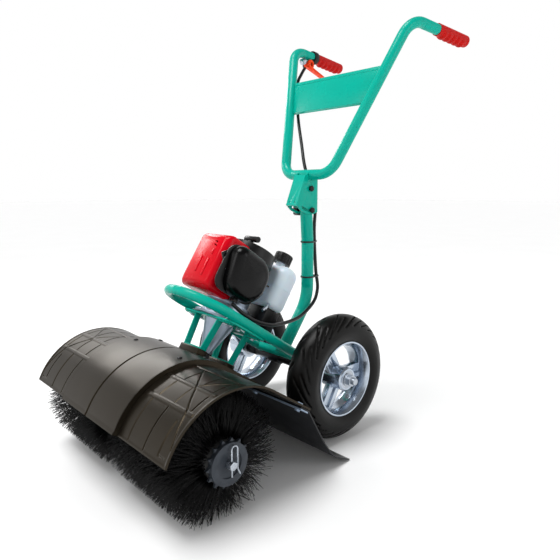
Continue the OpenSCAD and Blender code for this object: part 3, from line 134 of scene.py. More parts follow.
# Each lamp's name, place, target, width and height in metres, and power in watts
LAMPS = [
    ("key", (-0.6, -2.6, 2.2), MIDDLE, (1.2, 1.2), 13.0),
    ("fill", (2.6, 0.7, 1.5), MIDDLE, (0.8, 1.6), 8.0),
    ("strip", (-2.1, 0.05, 1.5), HOOD_CROWN, (1.7, 0.22), 16.0),
]
SUN_AT = (0, 0, 4)
SUN_TURN = (math.radians(14), math.radians(-8), 0)
SUN_POWER = 2.3
SUN_SPREAD = math.radians(30)


def soft_light(name, at, target, size, power):
    clear_selection()
    aim = (Vector(target) - Vector(at)).to_track_quat("-Z", "Y").to_euler()
    bpy.ops.object.light_add(type="AREA", location=at, rotation=aim)
    lamp = bpy.context.object
    lamp.name = name
    lamp.data.shape = "RECTANGLE"
    lamp.data.size, lamp.data.size_y = size
    lamp.data.energy = power


for lamp_row in LAMPS:
    soft_light(*lamp_row)
clear_selection()
bpy.ops.object.light_add(type="SUN", location=SUN_AT, rotation=SUN_TURN)
overhead = bpy.context.object
overhead.name = "overhead"
overhead.data.energy = SUN_POWER
overhead.data.angle = SUN_SPREAD
bpy.context.scene.view_settings.view_transform = "Standard"

# %% [markdown]
# ## Finishes
# Each finish starts from the real material. Colours are sRGB hex values, turned to linear by one function.
# One small function adds a node. Patterns take their scale from a real size: a noise of scale s has bumps
# about 1/s metres wide, so a grain of 2 mm is a scale of 500. Real grain is finer than that. It is drawn
# between 0.7 and 2 mm wide, as coarse as it needs to be to show.


# %% Colour and node helpers
def linear(hex_colour):
    """The linear RGBA of an sRGB hex colour."""
    parts = [int(hex_colour[i:i + 2], 16) / 255 for i in (1, 3, 5)]
    return tuple(c / 12.92 if c <= 0.04045 else ((c + 0.055) / 1.055) ** 2.4 for c in parts) + (1.0,)


def add(tree, kind, inputs, **settings):
    """A node of a kind, with its settings, its values and its links."""
    node = tree.nodes.new(kind)
    for key, value in settings.items():
        setattr(node, key, value)
    for key, value in inputs.items():
        if isinstance(value, bpy.types.NodeSocket):
            tree.links.new(value, node.inputs[key])
        else:
            node.inputs[key].default_value = value
    return node


print("pure red in linear light:", linear("#FF0000"))

# %% [markdown]
# The walls of the studio are white and its ceiling is dark, so that black mouldings stay black and only the
# lamps show in them. A lamp for each wall could do it. A world whose strength falls with height is simpler.

# %% White walls and a dark ceiling
WALL_TOP, CEILING = 0.34, 0.62
WALL_STRENGTH, CEILING_STRENGTH = 1.0, 0.22
world = bpy.context.scene.world or bpy.data.worlds.new("studio")
bpy.context.scene.world = world
world.use_nodes = True
sky_tree = world.node_tree
sky = sky_tree.nodes["Background"]
sky.inputs["Color"].default_value = (1.0, 1.0, 1.0, 1.0)
look = add(sky_tree, "ShaderNodeTexCoord", {}).outputs["Generated"]
height = add(sky_tree, "ShaderNodeSeparateXYZ", {"Vector": look}).outputs["Z"]
shade = add(sky_tree, "ShaderNodeMapRange",
            {"Value": height, "From Min": WALL_TOP, "From Max": CEILING,
             "To Min": WALL_STRENGTH, "To Max": CEILING_STRENGTH}, interpolation_type="SMOOTHSTEP")
sky_tree.links.new(shade.outputs["Result"], sky.inputs["Strength"])
print("world nodes:", len(sky_tree.nodes))

# %% [markdown]
# Moulded, cast and painted surfaces differ less in kind than in number. All have two close colours in soft
# patches, a fine grain, and a gloss that is a little uneven. So one function makes them all, and each call
# gives the colours, the sizes of patches and grain, and the depth of the grain, all in millimetres.

# %% One function for all finishes
PATCH_DETAIL, GRAIN_DETAIL = 4.0, 3.0
PATCH_SPAN = (0.3, 0.7)
DOT_SPAN = (0.15, 0.4)
BUMP_STRENGTH = 0.5
MIX_A, MIX_B, MIX_RESULT = 6, 7, 2


def grain_height(tree, place, width_mm, dots):
    """The height of a fine grain, or of rows of raised dots, each a width apart."""
    scale = 1 / (width_mm * MM)
    if not dots:
        noise = add(tree, "ShaderNodeTexNoise", {"Vector": place, "Scale": scale, "Detail": GRAIN_DETAIL})
        return noise.outputs["Fac"]
    cells = add(tree, "ShaderNodeTexVoronoi", {"Vector": place, "Scale": scale, "Randomness": 0.0})
    domes = add(tree, "ShaderNodeMapRange",
                {"Value": cells.outputs["Distance"], "From Min": DOT_SPAN[0], "From Max": DOT_SPAN[1],
                 "To Min": 1.0, "To Max": 0.0})
    return domes.outputs["Result"]


def finish(name, base, worn, patch_mm, grain_mm, grain_depth, rough, dots=False, **sockets):
    """A surface of two close colours in patches, with a grain and a roughness that varies."""
    material = bpy.data.materials.new(name)
    material.use_nodes = True
    tree = material.node_tree
    shader = tree.nodes["Principled BSDF"]
    place = add(tree, "ShaderNodeTexCoord", {}).outputs["Object"]
    patches = add(tree, "ShaderNodeTexNoise",
                  {"Vector": place, "Scale": 1 / (patch_mm * MM), "Detail": PATCH_DETAIL}).outputs["Fac"]
    mix = add(tree, "ShaderNodeMix", {"Factor": patches, MIX_A: linear(base), MIX_B: linear(worn)},
              data_type="RGBA")
    tree.links.new(mix.outputs[MIX_RESULT], shader.inputs["Base Color"])
    spread = add(tree, "ShaderNodeMapRange",
                 {"Value": patches, "From Min": PATCH_SPAN[0], "From Max": PATCH_SPAN[1],
                  "To Min": rough[0], "To Max": rough[1]})
    tree.links.new(spread.outputs["Result"], shader.inputs["Roughness"])
    bump = add(tree, "ShaderNodeBump",
               {"Height": grain_height(tree, place, grain_mm, dots), "Strength": BUMP_STRENGTH,
                "Distance": grain_depth * MM})
    tree.links.new(bump.outputs["Normal"], shader.inputs["Normal"])
    for key, value in sockets.items():
        shader.inputs[key.replace("_", " ")].default_value = value
    return material


print("a grain of 2 mm has a scale of", round(1 / (2 * MM)))

# %% [markdown]
# The frame is powder coated: a thick plastic skin, baked on. The engine cover and its black mouldings are
# ABS, the lever is nylon, the grips are dipped in soft PVC and the hood is polyethylene. What tells them
# apart is how sharp their highlights are.

# %% Paint and plastics
# Baked powder, sprayed on steel: a clear even gloss with a faint orange peel
teal_powder_coat = finish("teal_powder_coat", "#00AF9A", "#00A590", 60, 1.6, 0.04, (0.24, 0.32),
                          Specular_IOR_Level=0.15, Coat_Weight=0.05, Coat_Roughness=0.1)
# Moulded in a polished tool: strong colour, sharp highlights
red_abs = finish("red_abs_gloss", "#DA001B", "#C40015", 40, 1.2, 0.03, (0.2, 0.28),
                 Specular_IOR_Level=0.15)
# Dipped soft PVC: a satin skin with rows of small raised dots
grip_pvc = finish("red_pvc_grip", "#C40A04", "#B40803", 18, 4.5, 0.6, (0.36, 0.46), dots=True,
                  Specular_IOR_Level=0.12)
# Moulded nylon: a bright colour with a soft sheen
orange_nylon = finish("orange_nylon", "#FF4710", "#F03C08", 15, 1.0, 0.05, (0.35, 0.45),
                      Specular_IOR_Level=0.15)
# Moulded in an etched tool: black with wide, dim highlights
black_abs = finish("black_abs_satin", "#060607", "#040404", 30, 0.8, 0.06, (0.3, 0.4),
                   Specular_IOR_Level=0.3)
# Moulded in a polished tool: deep black, in which the lamps show
black_gloss = finish("black_abs_gloss", "#030304", "#020202", 45, 1.0, 0.01, (0.22, 0.28),
                     Specular_IOR_Level=0.2)
# Moulded polyethylene: black, but brown where light grazes it
hood_pe = finish("black_polyethylene_hood", "#15120D", "#0F0D0A", 90, 0.9, 0.05, (0.28, 0.36),
                 Specular_IOR_Level=0.3, Specular_Tint=linear("#FFE6C0"))
# Blown HDPE: milky white that lets a little light through
tank_hdpe = finish("translucent_hdpe_tank", "#D5E3EC", "#CBDAE5", 60, 1.4, 0.03, (0.3, 0.38),
                   Subsurface_Weight=0.2, Subsurface_Scale=0.008)
# Moulded nylon strap: a dull black line round the tube
tie_nylon = finish("black_nylon_tie", "#0C0C0D", "#121213", 8, 0.8, 0.03, (0.4, 0.5))
print("finishes so far:", len(bpy.data.materials))

# %% Rubber, sheath, bristles and floor
# Cut rubber sheet: blue black with a dusty sheen
flap_rubber = finish("flap_rubber", "#05070B", "#0A0E14", 35, 1.2, 0.08, (0.32, 0.44),
                     Specular_IOR_Level=0.35)
# New moulded tyre: warm black, with soft light on its shoulders
tyre_rubber = finish("tyre_rubber", "#020203", "#060503", 50, 1.4, 0.1, (0.3, 0.42),
                     Specular_IOR_Level=0.18)
# Extruded PVC: a smooth black line with one thin highlight
cable_pvc = finish("cable_pvc", "#0A0A0B", "#101012", 25, 1.0, 0.03, (0.3, 0.4), Specular_IOR_Level=0.35)
# Drawn nylon filament: black strands with small glints
nylon_bristle = finish("nylon_bristle", "#020202", "#0A0A0B", 12, 2.0, 0.02, (0.3, 0.4),
                       Specular_IOR_Level=0.25)
# Painted studio floor: matt and almost white
studio_floor = finish("studio_floor", "#F6F6F6", "#F2F2F2", 400, 30.0, 0.01, (0.7, 0.8),
                      Specular_IOR_Level=0.2)
floor.data.materials.append(studio_floor)
print("finishes so far:", len(bpy.data.materials))

# %% Metals
# Cast aluminium, polished: a bright mirror with slight waves
polished_cast = finish("polished_cast_aluminium", "#C4CEDA", "#A9B4C2", 40, 1.2, 0.05, (0.14, 0.26),
                       Metallic=1.0)
# Cast aluminium as it leaves the mould: grey, with a sandy sparkle
dull_cast = finish("as_cast_aluminium", "#AFBBCA", "#97A3B3", 25, 0.9, 0.12, (0.34, 0.48), Metallic=1.0)
# Zinc plated steel: small bright fittings, a little blue
zinc_steel = finish("zinc_plated_steel", "#C2C8D0", "#A4ACB6", 10, 0.7, 0.03, (0.22, 0.36), Metallic=1.0)
# Galvanised sheet: dull blue grey with flat patches, and weathered, so only part of it shines as metal
galvanised = finish("galvanised_strip", "#93A4B8", "#7F90A4", 20, 1.0, 0.04, (0.35, 0.5), Metallic=0.35)
# Blackened steel: dark, with dull edges of light
black_iron = finish("black_oxide_steel", "#1A1A1C", "#121213", 20, 0.8, 0.08, (0.38, 0.5), Metallic=0.5)
# Cast iron: grey and coarse
hub_iron = finish("grey_cast_hub", "#3A4048", "#2B3037", 18, 1.0, 0.14, (0.4, 0.55), Metallic=0.4)
# Cut bronze: warm yellow metal, hidden in the gear case
bronze_gear = finish("bronze_gear", "#B07F3C", "#9A6C30", 12, 0.8, 0.05, (0.3, 0.4), Metallic=1.0)
print("finishes:", len(bpy.data.materials))

# %% [markdown]
# ## Tools for the bench
# A new piece is drawn in millimetres around its own origin. When its shape is done, settle() scales it to
# metres, puts it in its place and leaves the object at the origin. dress() gives it its finish and body.


# %% Selecting and modifying
def make_active(obj):
    clear_selection()
    obj.select_set(True)
    bpy.context.view_layer.objects.active = obj


def modify(obj, kind, **settings):
    """Adds a modifier and applies it."""
    make_active(obj)
    modifier = obj.modifiers.new(kind, kind)
    for key, value in settings.items():
        setattr(modifier, key, value)
    bpy.ops.object.modifier_apply(modifier=modifier.name)


def round_edges(obj, width, segments=3, sharper_than=50.0):
    """Bevels the edges that bend by more than an angle in degrees."""
    modify(obj, "BEVEL", width=width, segments=segments, limit_method="ANGLE",
           angle_limit=math.radians(sharper_than))


def start_pick(obj, kind):
    """Clears a mesh's selection in a select mode, FACE or EDGE."""
    make_active(obj)
    bpy.ops.object.mode_set(mode="EDIT")
    bpy.ops.mesh.select_mode(type=kind)
    bpy.ops.mesh.select_all(action="DESELECT")
    bpy.ops.object.mode_set(mode="OBJECT")


def bevel_edges(obj, test, width, segments):
    """Bevels the edges whose two ends pass a test."""
    start_pick(obj, "EDGE")
    points = obj.data.vertices
    for edge in obj.data.edges:
        edge.select = test(points[edge.vertices[0]].co, points[edge.vertices[1]].co)
    bpy.ops.object.mode_set(mode="EDIT")
    bpy.ops.mesh.bevel(offset=width, segments=segments, affect="EDGES")
    bpy.ops.object.mode_set(mode="OBJECT")


def raise_faces(obj, test, inset, height):
    """Insets the faces that pass a test and lifts them."""
    start_pick(obj, "FACE")
    for face in obj.data.polygons:
        face.select = test(face)
    bpy.ops.object.mode_set(mode="EDIT")
    bpy.ops.mesh.inset(thickness=inset, depth=height)
    bpy.ops.object.mode_set(mode="OBJECT")


def tidy_mesh(obj, merge=0.01):
    """Merges doubled points and turns all faces outwards."""
    make_active(obj)
    bpy.ops.object.mode_set(mode="EDIT")
    bpy.ops.mesh.select_all(action="SELECT")
    bpy.ops.mesh.remove_doubles(threshold=merge)
    bpy.ops.mesh.normals_make_consistent(inside=False)
    bpy.ops.object.mode_set(mode="OBJECT")


print("selecting, bevels and lifted faces are ready")


# %% Starting shapes
TUBE_MERGE = 0.00001
AXIS_HOLE = 0.05


def mesh_piece(points, edges, faces):
    """A new object from points, edges and faces."""
    mesh = bpy.data.meshes.new("piece")
    mesh.from_pydata(points, edges, faces)
    obj = bpy.data.objects.new("piece", mesh)
    bpy.context.scene.collection.objects.link(obj)
    return obj


def box_piece(low, high):
    """A box between two corners, in millimetres."""
    clear_selection()
    low, high = Vector(low), Vector(high)
    bpy.ops.mesh.primitive_cube_add(size=1, location=(low + high) / 2)
    obj = bpy.context.object
    obj.scale = high - low
    bpy.ops.object.transform_apply(location=True, rotation=True, scale=True)
    return obj


def spun(profile, steps):
    """A closed outline of (radius, height) points, spun once round Z. A solid one starts at AXIS_HOLE."""
    count = len(profile)
    ring = [(i, (i + 1) % count) for i in range(count)]
    obj = mesh_piece([(r, 0, z) for r, z in profile], ring, [])
    make_active(obj)
    bpy.ops.object.mode_set(mode="EDIT")
    bpy.ops.mesh.select_all(action="SELECT")
    bpy.ops.mesh.spin(steps=steps, angle=2 * math.pi, center=(0, 0, 0), axis=(0, 0, 1))
    bpy.ops.object.mode_set(mode="OBJECT")
    tidy_mesh(obj)
    return obj


def tube(points, radius, sides, steps):
    """A round tube along a smooth line of points, as a curve made into a mesh."""
    clear_selection()
    curve = bpy.data.curves.new("line", "CURVE")
    curve.dimensions = "3D"
    spline = curve.splines.new("BEZIER")
    spline.bezier_points.add(len(points) - 1)
    for knot, at in zip(spline.bezier_points, points):
        knot.co = at
        knot.handle_left_type = knot.handle_right_type = "AUTO"
    curve.bevel_depth = radius
    curve.bevel_resolution = sides // 4 - 1
    curve.resolution_u = steps
    curve.use_fill_caps = True
    obj = bpy.data.objects.new("line", curve)
    bpy.context.scene.collection.objects.link(obj)
    make_active(obj)
    bpy.ops.object.convert(target="MESH")
    tidy_mesh(bpy.context.object, TUBE_MERGE)
    return bpy.context.object


print("boxes, spun outlines and tubes are ready")


# %% Placing and dressing
SMOOTH_BELOW = 35.0


def joined(objs):
    """Several pieces as one object."""
    make_active(objs[0])
    for obj in objs:
        obj.select_set(True)
    bpy.ops.object.join()
    return bpy.context.object


def settle(obj, place=Matrix()):
    """From millimetres around its own origin to metres in its place."""
    make_active(obj)
    bpy.ops.object.transform_apply(location=True, rotation=True, scale=True)
    obj.matrix_world = place @ Matrix.Scale(MM, 4)
    bpy.ops.object.transform_apply(location=True, rotation=True, scale=True)


def dress(obj, name, material, body, slot, *nodes, smooth=SMOOTH_BELOW):
    """Names a piece, gives it its finish and body, and hides the solids it stands for."""
    make_active(obj)
    obj.name = name
    obj.data.name = name
    bpy.ops.object.shade_smooth_by_angle(angle=math.radians(smooth))
    obj.data.materials.clear()
    obj.data.materials.append(material)
    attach(obj, body)
    if nodes:
        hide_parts(*nodes)
    return obj


print("placing and dressing are ready")

# %% [markdown]
# ## Rounded edges on the solids
# Real sheet steel and castings have no razor edges, and a thin bevel is what catches the light. Each solid
# whose shape is right is copied, its loose triangles are merged, its flat faces are cleaned, and its sharp
# edges are bevelled. The copy then stands for the solid.

# %% Bevelled copies
# Each row's finish, slot, bevel in millimetres, and solids
SOFT_NODES = [
    (teal_powder_coat, "teal_paint", 0.7, ["cross_panel", "handle_bracket", "engine_plate", "hood_straps",
                                           "handlebar", "riser_tube", "frame_loop"]),
    (black_abs, "black_plastic", 0.7, ["throttle_clamp", "lock_knob", "recoil_housing", "air_cleaner_base",
                                       "choke_lever", "engine_stand", "fuel_cap"]),
    (galvanised, "zinc_steel", 0.4, ["flap_strip"]),
    (black_iron, "zinc_steel", 0.6, ["bracket_bolts"]),
    (zinc_steel, "zinc_steel", 0.4, ["throttle_screw", "frame_bolts", "axle", "axle_nuts",
                                     "brush_shaft", "hairpins", "throttle_arm", "crankshaft",
                                     "flywheel", "shaft_bearings", "drive_shaft", "clutch_drum",
                                     "bearings_left", "bearings_right"]),
    (black_iron, "dark_steel", 0.5, ["axle_tube", "axle_spacers", "clutch_shoes", "drive_tube", "muffler"]),
    (hub_iron, "dark_steel", 0.6, ["brush_core_left", "brush_core_right"]),
    (dull_cast, "cast_alloy", 0.8, ["clutch_housing", "gear_case_left", "gear_case_right", "crankcase",
                                    "carburettor"]),
    (bronze_gear, "bronze", 0.3, ["worm_wheel"]),
    (flap_rubber, "flap_rubber", 0.5, ["flap"]),
    (orange_nylon, "orange_plastic", 1.2, ["throttle_lever"]),
    (black_abs, "black_plastic", 1.0, ["starter_grip"]),
    (tie_nylon, "black_plastic", 0.2, ["cable_ties"]),
]
FLAT_ANGLE = math.radians(0.6)
SHARP_DEGREES = 32
SAME_POINT = 0.000002
body_of_node = {node: body for body, nodes in frame["record"]["behaviour"]["bodies"].items()
                for node in nodes}


def soften(node, material, slot, width):
    source = frame["nodes"][node]
    obj = bpy.data.objects.new(node + "_softened", source.data.copy())
    bpy.context.scene.collection.objects.link(obj)
    make_active(obj)
    bpy.ops.object.mode_set(mode="EDIT")
    bpy.ops.mesh.select_all(action="SELECT")
    bpy.ops.mesh.remove_doubles(threshold=SAME_POINT)
    bpy.ops.mesh.dissolve_limited(angle_limit=FLAT_ANGLE)
    bpy.ops.object.mode_set(mode="OBJECT")
    round_edges(obj, width * MM, segments=2, sharper_than=SHARP_DEGREES)
    dress(obj, node + "_softened", material, body_of_node[node], slot, node)


for material, slot, width, nodes in SOFT_NODES:
    for node in nodes:
        soften(node, material, slot, width)
print("bevelled:", sum(len(nodes) for *_, nodes in SOFT_NODES))

# %% [markdown]
# ## Hood
# The hood is one moulded sheet: an arch with a straight tail. Its middle stands proud in a band with a seam
# down the middle, and ribs and thin grooves stiffen its two side panels. It could be built rib by rib, but a
# fine grid that is rolled over the arch and lifted by one relief function gives soft moulded edges. The two
# panels have a finer grid than the band, because their grooves are narrow.

# %% Hood sizes
HOOD_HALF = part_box("hood")[1].x / MM
HOOD_R = 158.0
HOOD_T = 4.0
BAND_HALF = 116.0
BAND_RAISE = 10.0
WALL_LEAN, WALL_T, WALL_SHORT = 1.5, 2.5, 0.4
LIP_ANGLE = 157.0
TAIL_ANGLE = 90.0 - lean
ARCH_BACK, ARCH_DOWN = 13.0, 20.0
ARCH_CENTRE = (BRUSH.y / MM + ARCH_BACK, BRUSH.z / MM - ARCH_DOWN)
TAIL_LENGTH = 117.0
ARCH_LENGTH = math.radians(LIP_ANGLE - TAIL_ANGLE) * HOOD_R
PANEL = HOOD_HALF - BAND_HALF
PANEL_GRID, WALL_GRID, BAND_GRID = (118, 250), (6, 160), (232, 120)
print("hood panels", round(PANEL), "mm wide, band", round(2 * BAND_HALF), "mm wide")

# %% Hood relief
RIB_PLACES = (93.0, 145.0, 208.0)
RIB_HALF, RIB_UP, RIB_SOFT = 4.5, 1.3, 1.5
# A rib fades in over these distances from the band, and out over these from the panel's edge
RIB_FROM_BAND, RIB_FROM_EDGE = (2, 6), (9, 5)
GROOVE_HALF, GROOVE_FLAT, GROOVE_DEEP = 1.5, 0.75, 1.3
EDGE_UP, EDGE_SPAN, LIP_SPAN = 1.2, (5, 3), (3, 6)
SEAM_DEEP, SEAM_SPAN = 4.0, (1.2, 2.6)
# Straight grooves on a panel, as (across from the band, along from the lip) ends in millimetres
PANEL_GROOVES = [
    ((36, 5), (36, 88)), ((88, 5), (88, 88)), ((133, 14), (133, 74)), ((133, 13), (150, 13)),
    ((44, 99), (44, 139)), ((94, 99), (94, 139)), ((145, 99), (145, 139)), ((159, 30), (139, 92)),
    ((139, 92), (97, 147)), ((97, 147), (44, 200)), ((97, 147), (150, 200)), ((52, 152), (52, 202)),
    ((104, 160), (104, 202)), ((142, 152), (142, 202)), ((48, 214), (48, 330)), ((100, 214), (100, 330)),
]


def step_up(value, start, end):
    """A smooth step from 0 at start to 1 at end."""
    t = np.clip((value - start) / (end - start), 0, 1)
    return t * t * (3 - 2 * t)


def groove(across, s, a, b):
    """How deep a straight groove from a to b is at each point of the sheet."""
    a, b = np.array(a, float), np.array(b, float)
    length = np.linalg.norm(b - a)
    along = (b - a) / length
    t = np.clip((across - a[0]) * along[0] + (s - a[1]) * along[1], 0, length)
    away = np.hypot(across - a[0] - t * along[0], s - a[1] - t * along[1])
    return GROOVE_DEEP * (1 - step_up(away, GROOVE_FLAT, GROOVE_HALF))


def lip_edge(s):
    """The raised edge along the hood's lip."""
    return EDGE_UP * (1 - step_up(s, *LIP_SPAN))


def panel_relief(across, s):
    from_edge = [PANEL - distance for distance in RIB_FROM_EDGE]
    inside = step_up(across, *RIB_FROM_BAND) * (1 - step_up(across, *from_edge))
    up = sum(RIB_UP * (1 - step_up(np.abs(s - place), RIB_HALF - RIB_SOFT, RIB_HALF))
             for place in RIB_PLACES) * inside
    cut = np.max([groove(across, s, a, b) for a, b in PANEL_GROOVES], axis=0)
    side_edge = EDGE_UP * step_up(across, *(PANEL - distance for distance in EDGE_SPAN))
    return up - cut + np.minimum(side_edge + lip_edge(s), EDGE_UP)


def band_relief(x, s):
    seam = SEAM_DEEP * (1 - step_up(np.abs(x), *SEAM_SPAN))
    return BAND_RAISE - seam + lip_edge(s)


print("panel grooves:", len(PANEL_GROOVES), "ribs:", len(RIB_PLACES))


# %% Hood sheets
def arch_turn(s):
    """The angle on the arch at a length along it from the lip."""
    return np.radians(LIP_ANGLE) - np.minimum(s, ARCH_LENGTH) / HOOD_R


def on_hood(x, s, height):
    """Points at a height above the hood's skin, x across and s along from the lip."""
    turn, tail = arch_turn(s), np.maximum(s - ARCH_LENGTH, 0)
    y = ARCH_CENTRE[0] + (HOOD_R + height) * np.cos(turn) + tail * math.cos(math.radians(lean))
    z = ARCH_CENTRE[1] + (HOOD_R + height) * np.sin(turn) - tail * math.sin(math.radians(lean))
    return np.stack([x, y, z], -1)


def rolled_grid(grid, place):
    """A grid rolled over the arch. place() gives points across and above the skin from the grid's own."""
    clear_selection()
    bpy.ops.mesh.primitive_grid_add(x_subdivisions=grid[0], y_subdivisions=grid[1], size=1)
    obj = bpy.context.object
    flat = np.array([v.co[:] for v in obj.data.vertices]) + 0.5
    s = flat[:, 1] * (ARCH_LENGTH + TAIL_LENGTH)
    x, height = place(flat[:, 0], s)
    obj.data.vertices.foreach_set("co", on_hood(x, s, height).ravel())
    obj.data.update()
    return obj


def hood_piece(name, sheet, thickness, offset):
    modify(sheet, "SOLIDIFY", thickness=thickness, offset=offset)
    tidy_mesh(sheet)
    settle(sheet)
    dress(sheet, name, hood_pe, "frame", "hood_plastic", "hood", smooth=40)


for side, sign in zip(SIDES, (1, -1)):
    panel = rolled_grid(PANEL_GRID, lambda u, s: (sign * (BAND_HALF + u * PANEL), panel_relief(u * PANEL, s)))
    hood_piece("hood_panel_" + side, panel, HOOD_T, -sign)
    wall = rolled_grid(WALL_GRID, lambda u, s: (sign * (BAND_HALF + WALL_LEAN * (1 - u)),
                                                u * (BAND_RAISE + HOOD_T - WALL_SHORT) - HOOD_T))
    hood_piece("hood_wall_" + side, wall, WALL_T, 0)
band = rolled_grid(BAND_GRID, lambda u, s: ((2 * u - 1) * BAND_HALF, band_relief((2 * u - 1) * BAND_HALF, s)))
hood_piece("hood_band", band, HOOD_T, -1)
print("hood sheets:", 2 * len(SIDES) + 1)

# %% [markdown]
# The straps stand on two moulded pads, and four round-headed screws hold the hood's band to its frame. The
# pads are bevelled boxes. A screw head is half an outline, spun round its axis and set square on the skin.

# %% Strap pads and screws
PAD_TOP, PAD_DEEP, PAD_ROUND = -89.6, 18.0, 3.0
PAD_HALF = (36.0, 14.0)
PAD_PLACES = (-34, 56)
SCREW_ACROSS = (-90, 90)
SCREW_ALONG = (190, 250)
SCREW_HEAD = [(AXIS_HOLE, -3), (5.5, -3), (5.5, 0.6), (4.6, 1.8), (2.2, 2.6), (AXIS_HOLE, 2.7)]


def strap_pad(y):
    pad = box_piece((-PAD_HALF[0], y - PAD_HALF[1], PAD_TOP - PAD_DEEP),
                    (PAD_HALF[0], y + PAD_HALF[1], PAD_TOP))
    round_edges(pad, PAD_ROUND)
    settle(pad, DRIVE)
    return pad


def hood_screw(x, s):
    turn = arch_turn(s)
    upright = Vector((0, math.cos(turn), math.sin(turn))).to_track_quat("Z", "Y").to_matrix().to_4x4()
    head = spun(SCREW_HEAD, steps=24)
    settle(head, Matrix.Translation(Vector(on_hood(x, s, BAND_RAISE)) * MM) @ upright)
    return head


pads = joined([strap_pad(y) for y in PAD_PLACES])
dress(pads, "strap_pads", hood_pe, "frame", "hood_plastic")
screws = [hood_screw(x, s) for x in SCREW_ACROSS for s in SCREW_ALONG]
dress(joined(screws), "hood_screws", black_iron, "frame", "dark_steel")
print("pads:", len(PAD_PLACES), "screws:", len(screws))

# %% [markdown]
# ## Brush
# A real brush has thousands of nylon bristles in rings. Each is drawn here as a thin three-sided strand with
# a slight bend, thick enough to show, on a dark sleeve. They could be grown as hair, but a mesh is what
# goes into the exported model. The weight of the machine presses the brush flat where it stands, so the
# strands are longer than the axis is high, and those that point down end on the floor.

# %% Strands
rng = np.random.default_rng(7)
BRISTLES_A_SIDE = 5200
BRISTLE_R, TIP_THINNER = 0.75, 0.35
SLEEVE_R, SLEEVE_IN, SLEEVE_OUT = 40.0, 4.0, 1.0
ROOT_DEEP = 2.0
BRUSH_R = (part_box("bristles_left")[1].z - BRUSH.z) / MM
FREE_REACH, REACH_LESS = 125.0, 9.0
FLOOR_CLEAR = 0.6
END_CLEAR, TIP_CLEAR = 4.0, 1.0
BEND, BEND_MOST = 0.13, 0.3
SPLAY, SPLAY_MOST = 7.0, 14.0
FLATTEST = 0.01
STRAND_LEVELS, STRAND_SIDES = 4, 3


def strand_points(low, high):
    """Points of all strands between two ends of a brush half: strand, level, side and coordinate."""
    count = BRISTLES_A_SIDE
    across = low + END_CLEAR + (high - low - 2 * END_CLEAR) * rng.random(count)
    turn = 2 * math.pi * rng.random(count)
    bend = np.clip(BEND * rng.standard_normal(count), -BEND_MOST, BEND_MOST)
    down = np.maximum(-np.sin(turn + bend), FLATTEST)
    to_floor = (BRUSH_R - FLOOR_CLEAR - BRISTLE_R) / down
    reach = np.minimum(FREE_REACH - REACH_LESS * rng.random(count) ** 2, to_floor)
    splay = np.clip(SPLAY * rng.standard_normal(count), -SPLAY_MOST, SPLAY_MOST)
    splay = np.clip(across + splay, low + TIP_CLEAR, high - TIP_CLEAR) - across
    root = SLEEVE_R - ROOT_DEEP
    side_x = np.array([1.0, 0, 0])
    points = np.zeros((count, STRAND_LEVELS, STRAND_SIDES, 3))
    for i, t in enumerate(np.linspace(0, 1, STRAND_LEVELS)):
        r = root + (reach - root) * t
        a = turn + bend * t * t
        centre = np.stack([across + splay * t * t, r * np.cos(a), r * np.sin(a)], 1)
        side_t = np.stack([np.zeros(count), -np.sin(a), np.cos(a)], 1)
        for k in range(STRAND_SIDES):
            angle = 2 * math.pi * k / STRAND_SIDES
            ring = math.cos(angle) * side_x + math.sin(angle) * side_t
            points[:, i, k] = centre + BRISTLE_R * (1 - TIP_THINNER * t) * ring
    return points


def strand_faces():
    """Faces of all strands: walls between levels, then the two ends."""
    n = STRAND_SIDES
    starts = np.arange(BRISTLES_A_SIDE)[:, None, None] * STRAND_LEVELS * n
    walls = np.array([[n * i + k, n * i + (k + 1) % n, n * i + n + (k + 1) % n, n * i + n + k]
                      for i in range(STRAND_LEVELS - 1) for k in range(n)])
    tip = [n * STRAND_LEVELS - n + k for k in range(n)]
    ends = np.array([tip, [0, 2, 1]])
    return (starts + walls).reshape(-1, 4).tolist() + (starts + ends).reshape(-1, n).tolist()


print("bristles:", 2 * BRISTLES_A_SIDE, "reach", FREE_REACH, "mm")


# %% Brush halves
def bristle_half(side):
    low, high = (v.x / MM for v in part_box("bristles_" + side))
    strands = mesh_piece(strand_points(low, high).reshape(-1, 3).tolist(), [], strand_faces())
    inner, outer = SLEEVE_R - SLEEVE_IN, SLEEVE_R + SLEEVE_OUT
    sleeve = spun([(inner, low), (outer, low), (outer, high), (inner, high)], steps=64)
    make_active(sleeve)
    sleeve.rotation_euler = (0, math.pi / 2, 0)
    bpy.ops.object.transform_apply(rotation=True)
    obj = joined([strands, sleeve])
    settle(obj, Matrix.Translation(BRUSH))
    return dress(obj, "bristle_tufts_" + side, nylon_bristle, "brush", "bristle", "bristles_" + side,
                 smooth=180)


for side in SIDES:
    print("brush", side, "faces:", len(bristle_half(side).data.polygons))

# %% [markdown]
# ## Tyres
# Small road tyres with curved grooves that sweep back from the crown to the shoulder. A torus has the right
# section already. Its points are moved in along the grooves, and held off the rim at the bead.

# %% Tyres
TYRE_R = (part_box("tyre_left")[1].z - WHEELS["left"].z) / MM
TYRE_HALF = (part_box("tyre_left")[1].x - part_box("tyre_left")[0].x) / MM / 2
TYRE_RING = TYRE_R - TYRE_HALF
TYRE_STEPS, SECTION_STEPS = 540, 88
BEAD_R = 89.4
GROOVES_ROUND = 14
# A tread groove is flat to the first distance from its middle line and ends at the second
TREAD_DEEP, TREAD_SPAN = 4.2, (1.2, 3.6)
TREAD_SWEEP, TREAD_CURVE, TREAD_END, TREAD_FADE = 0.42, 1.4, 1.2, 0.06
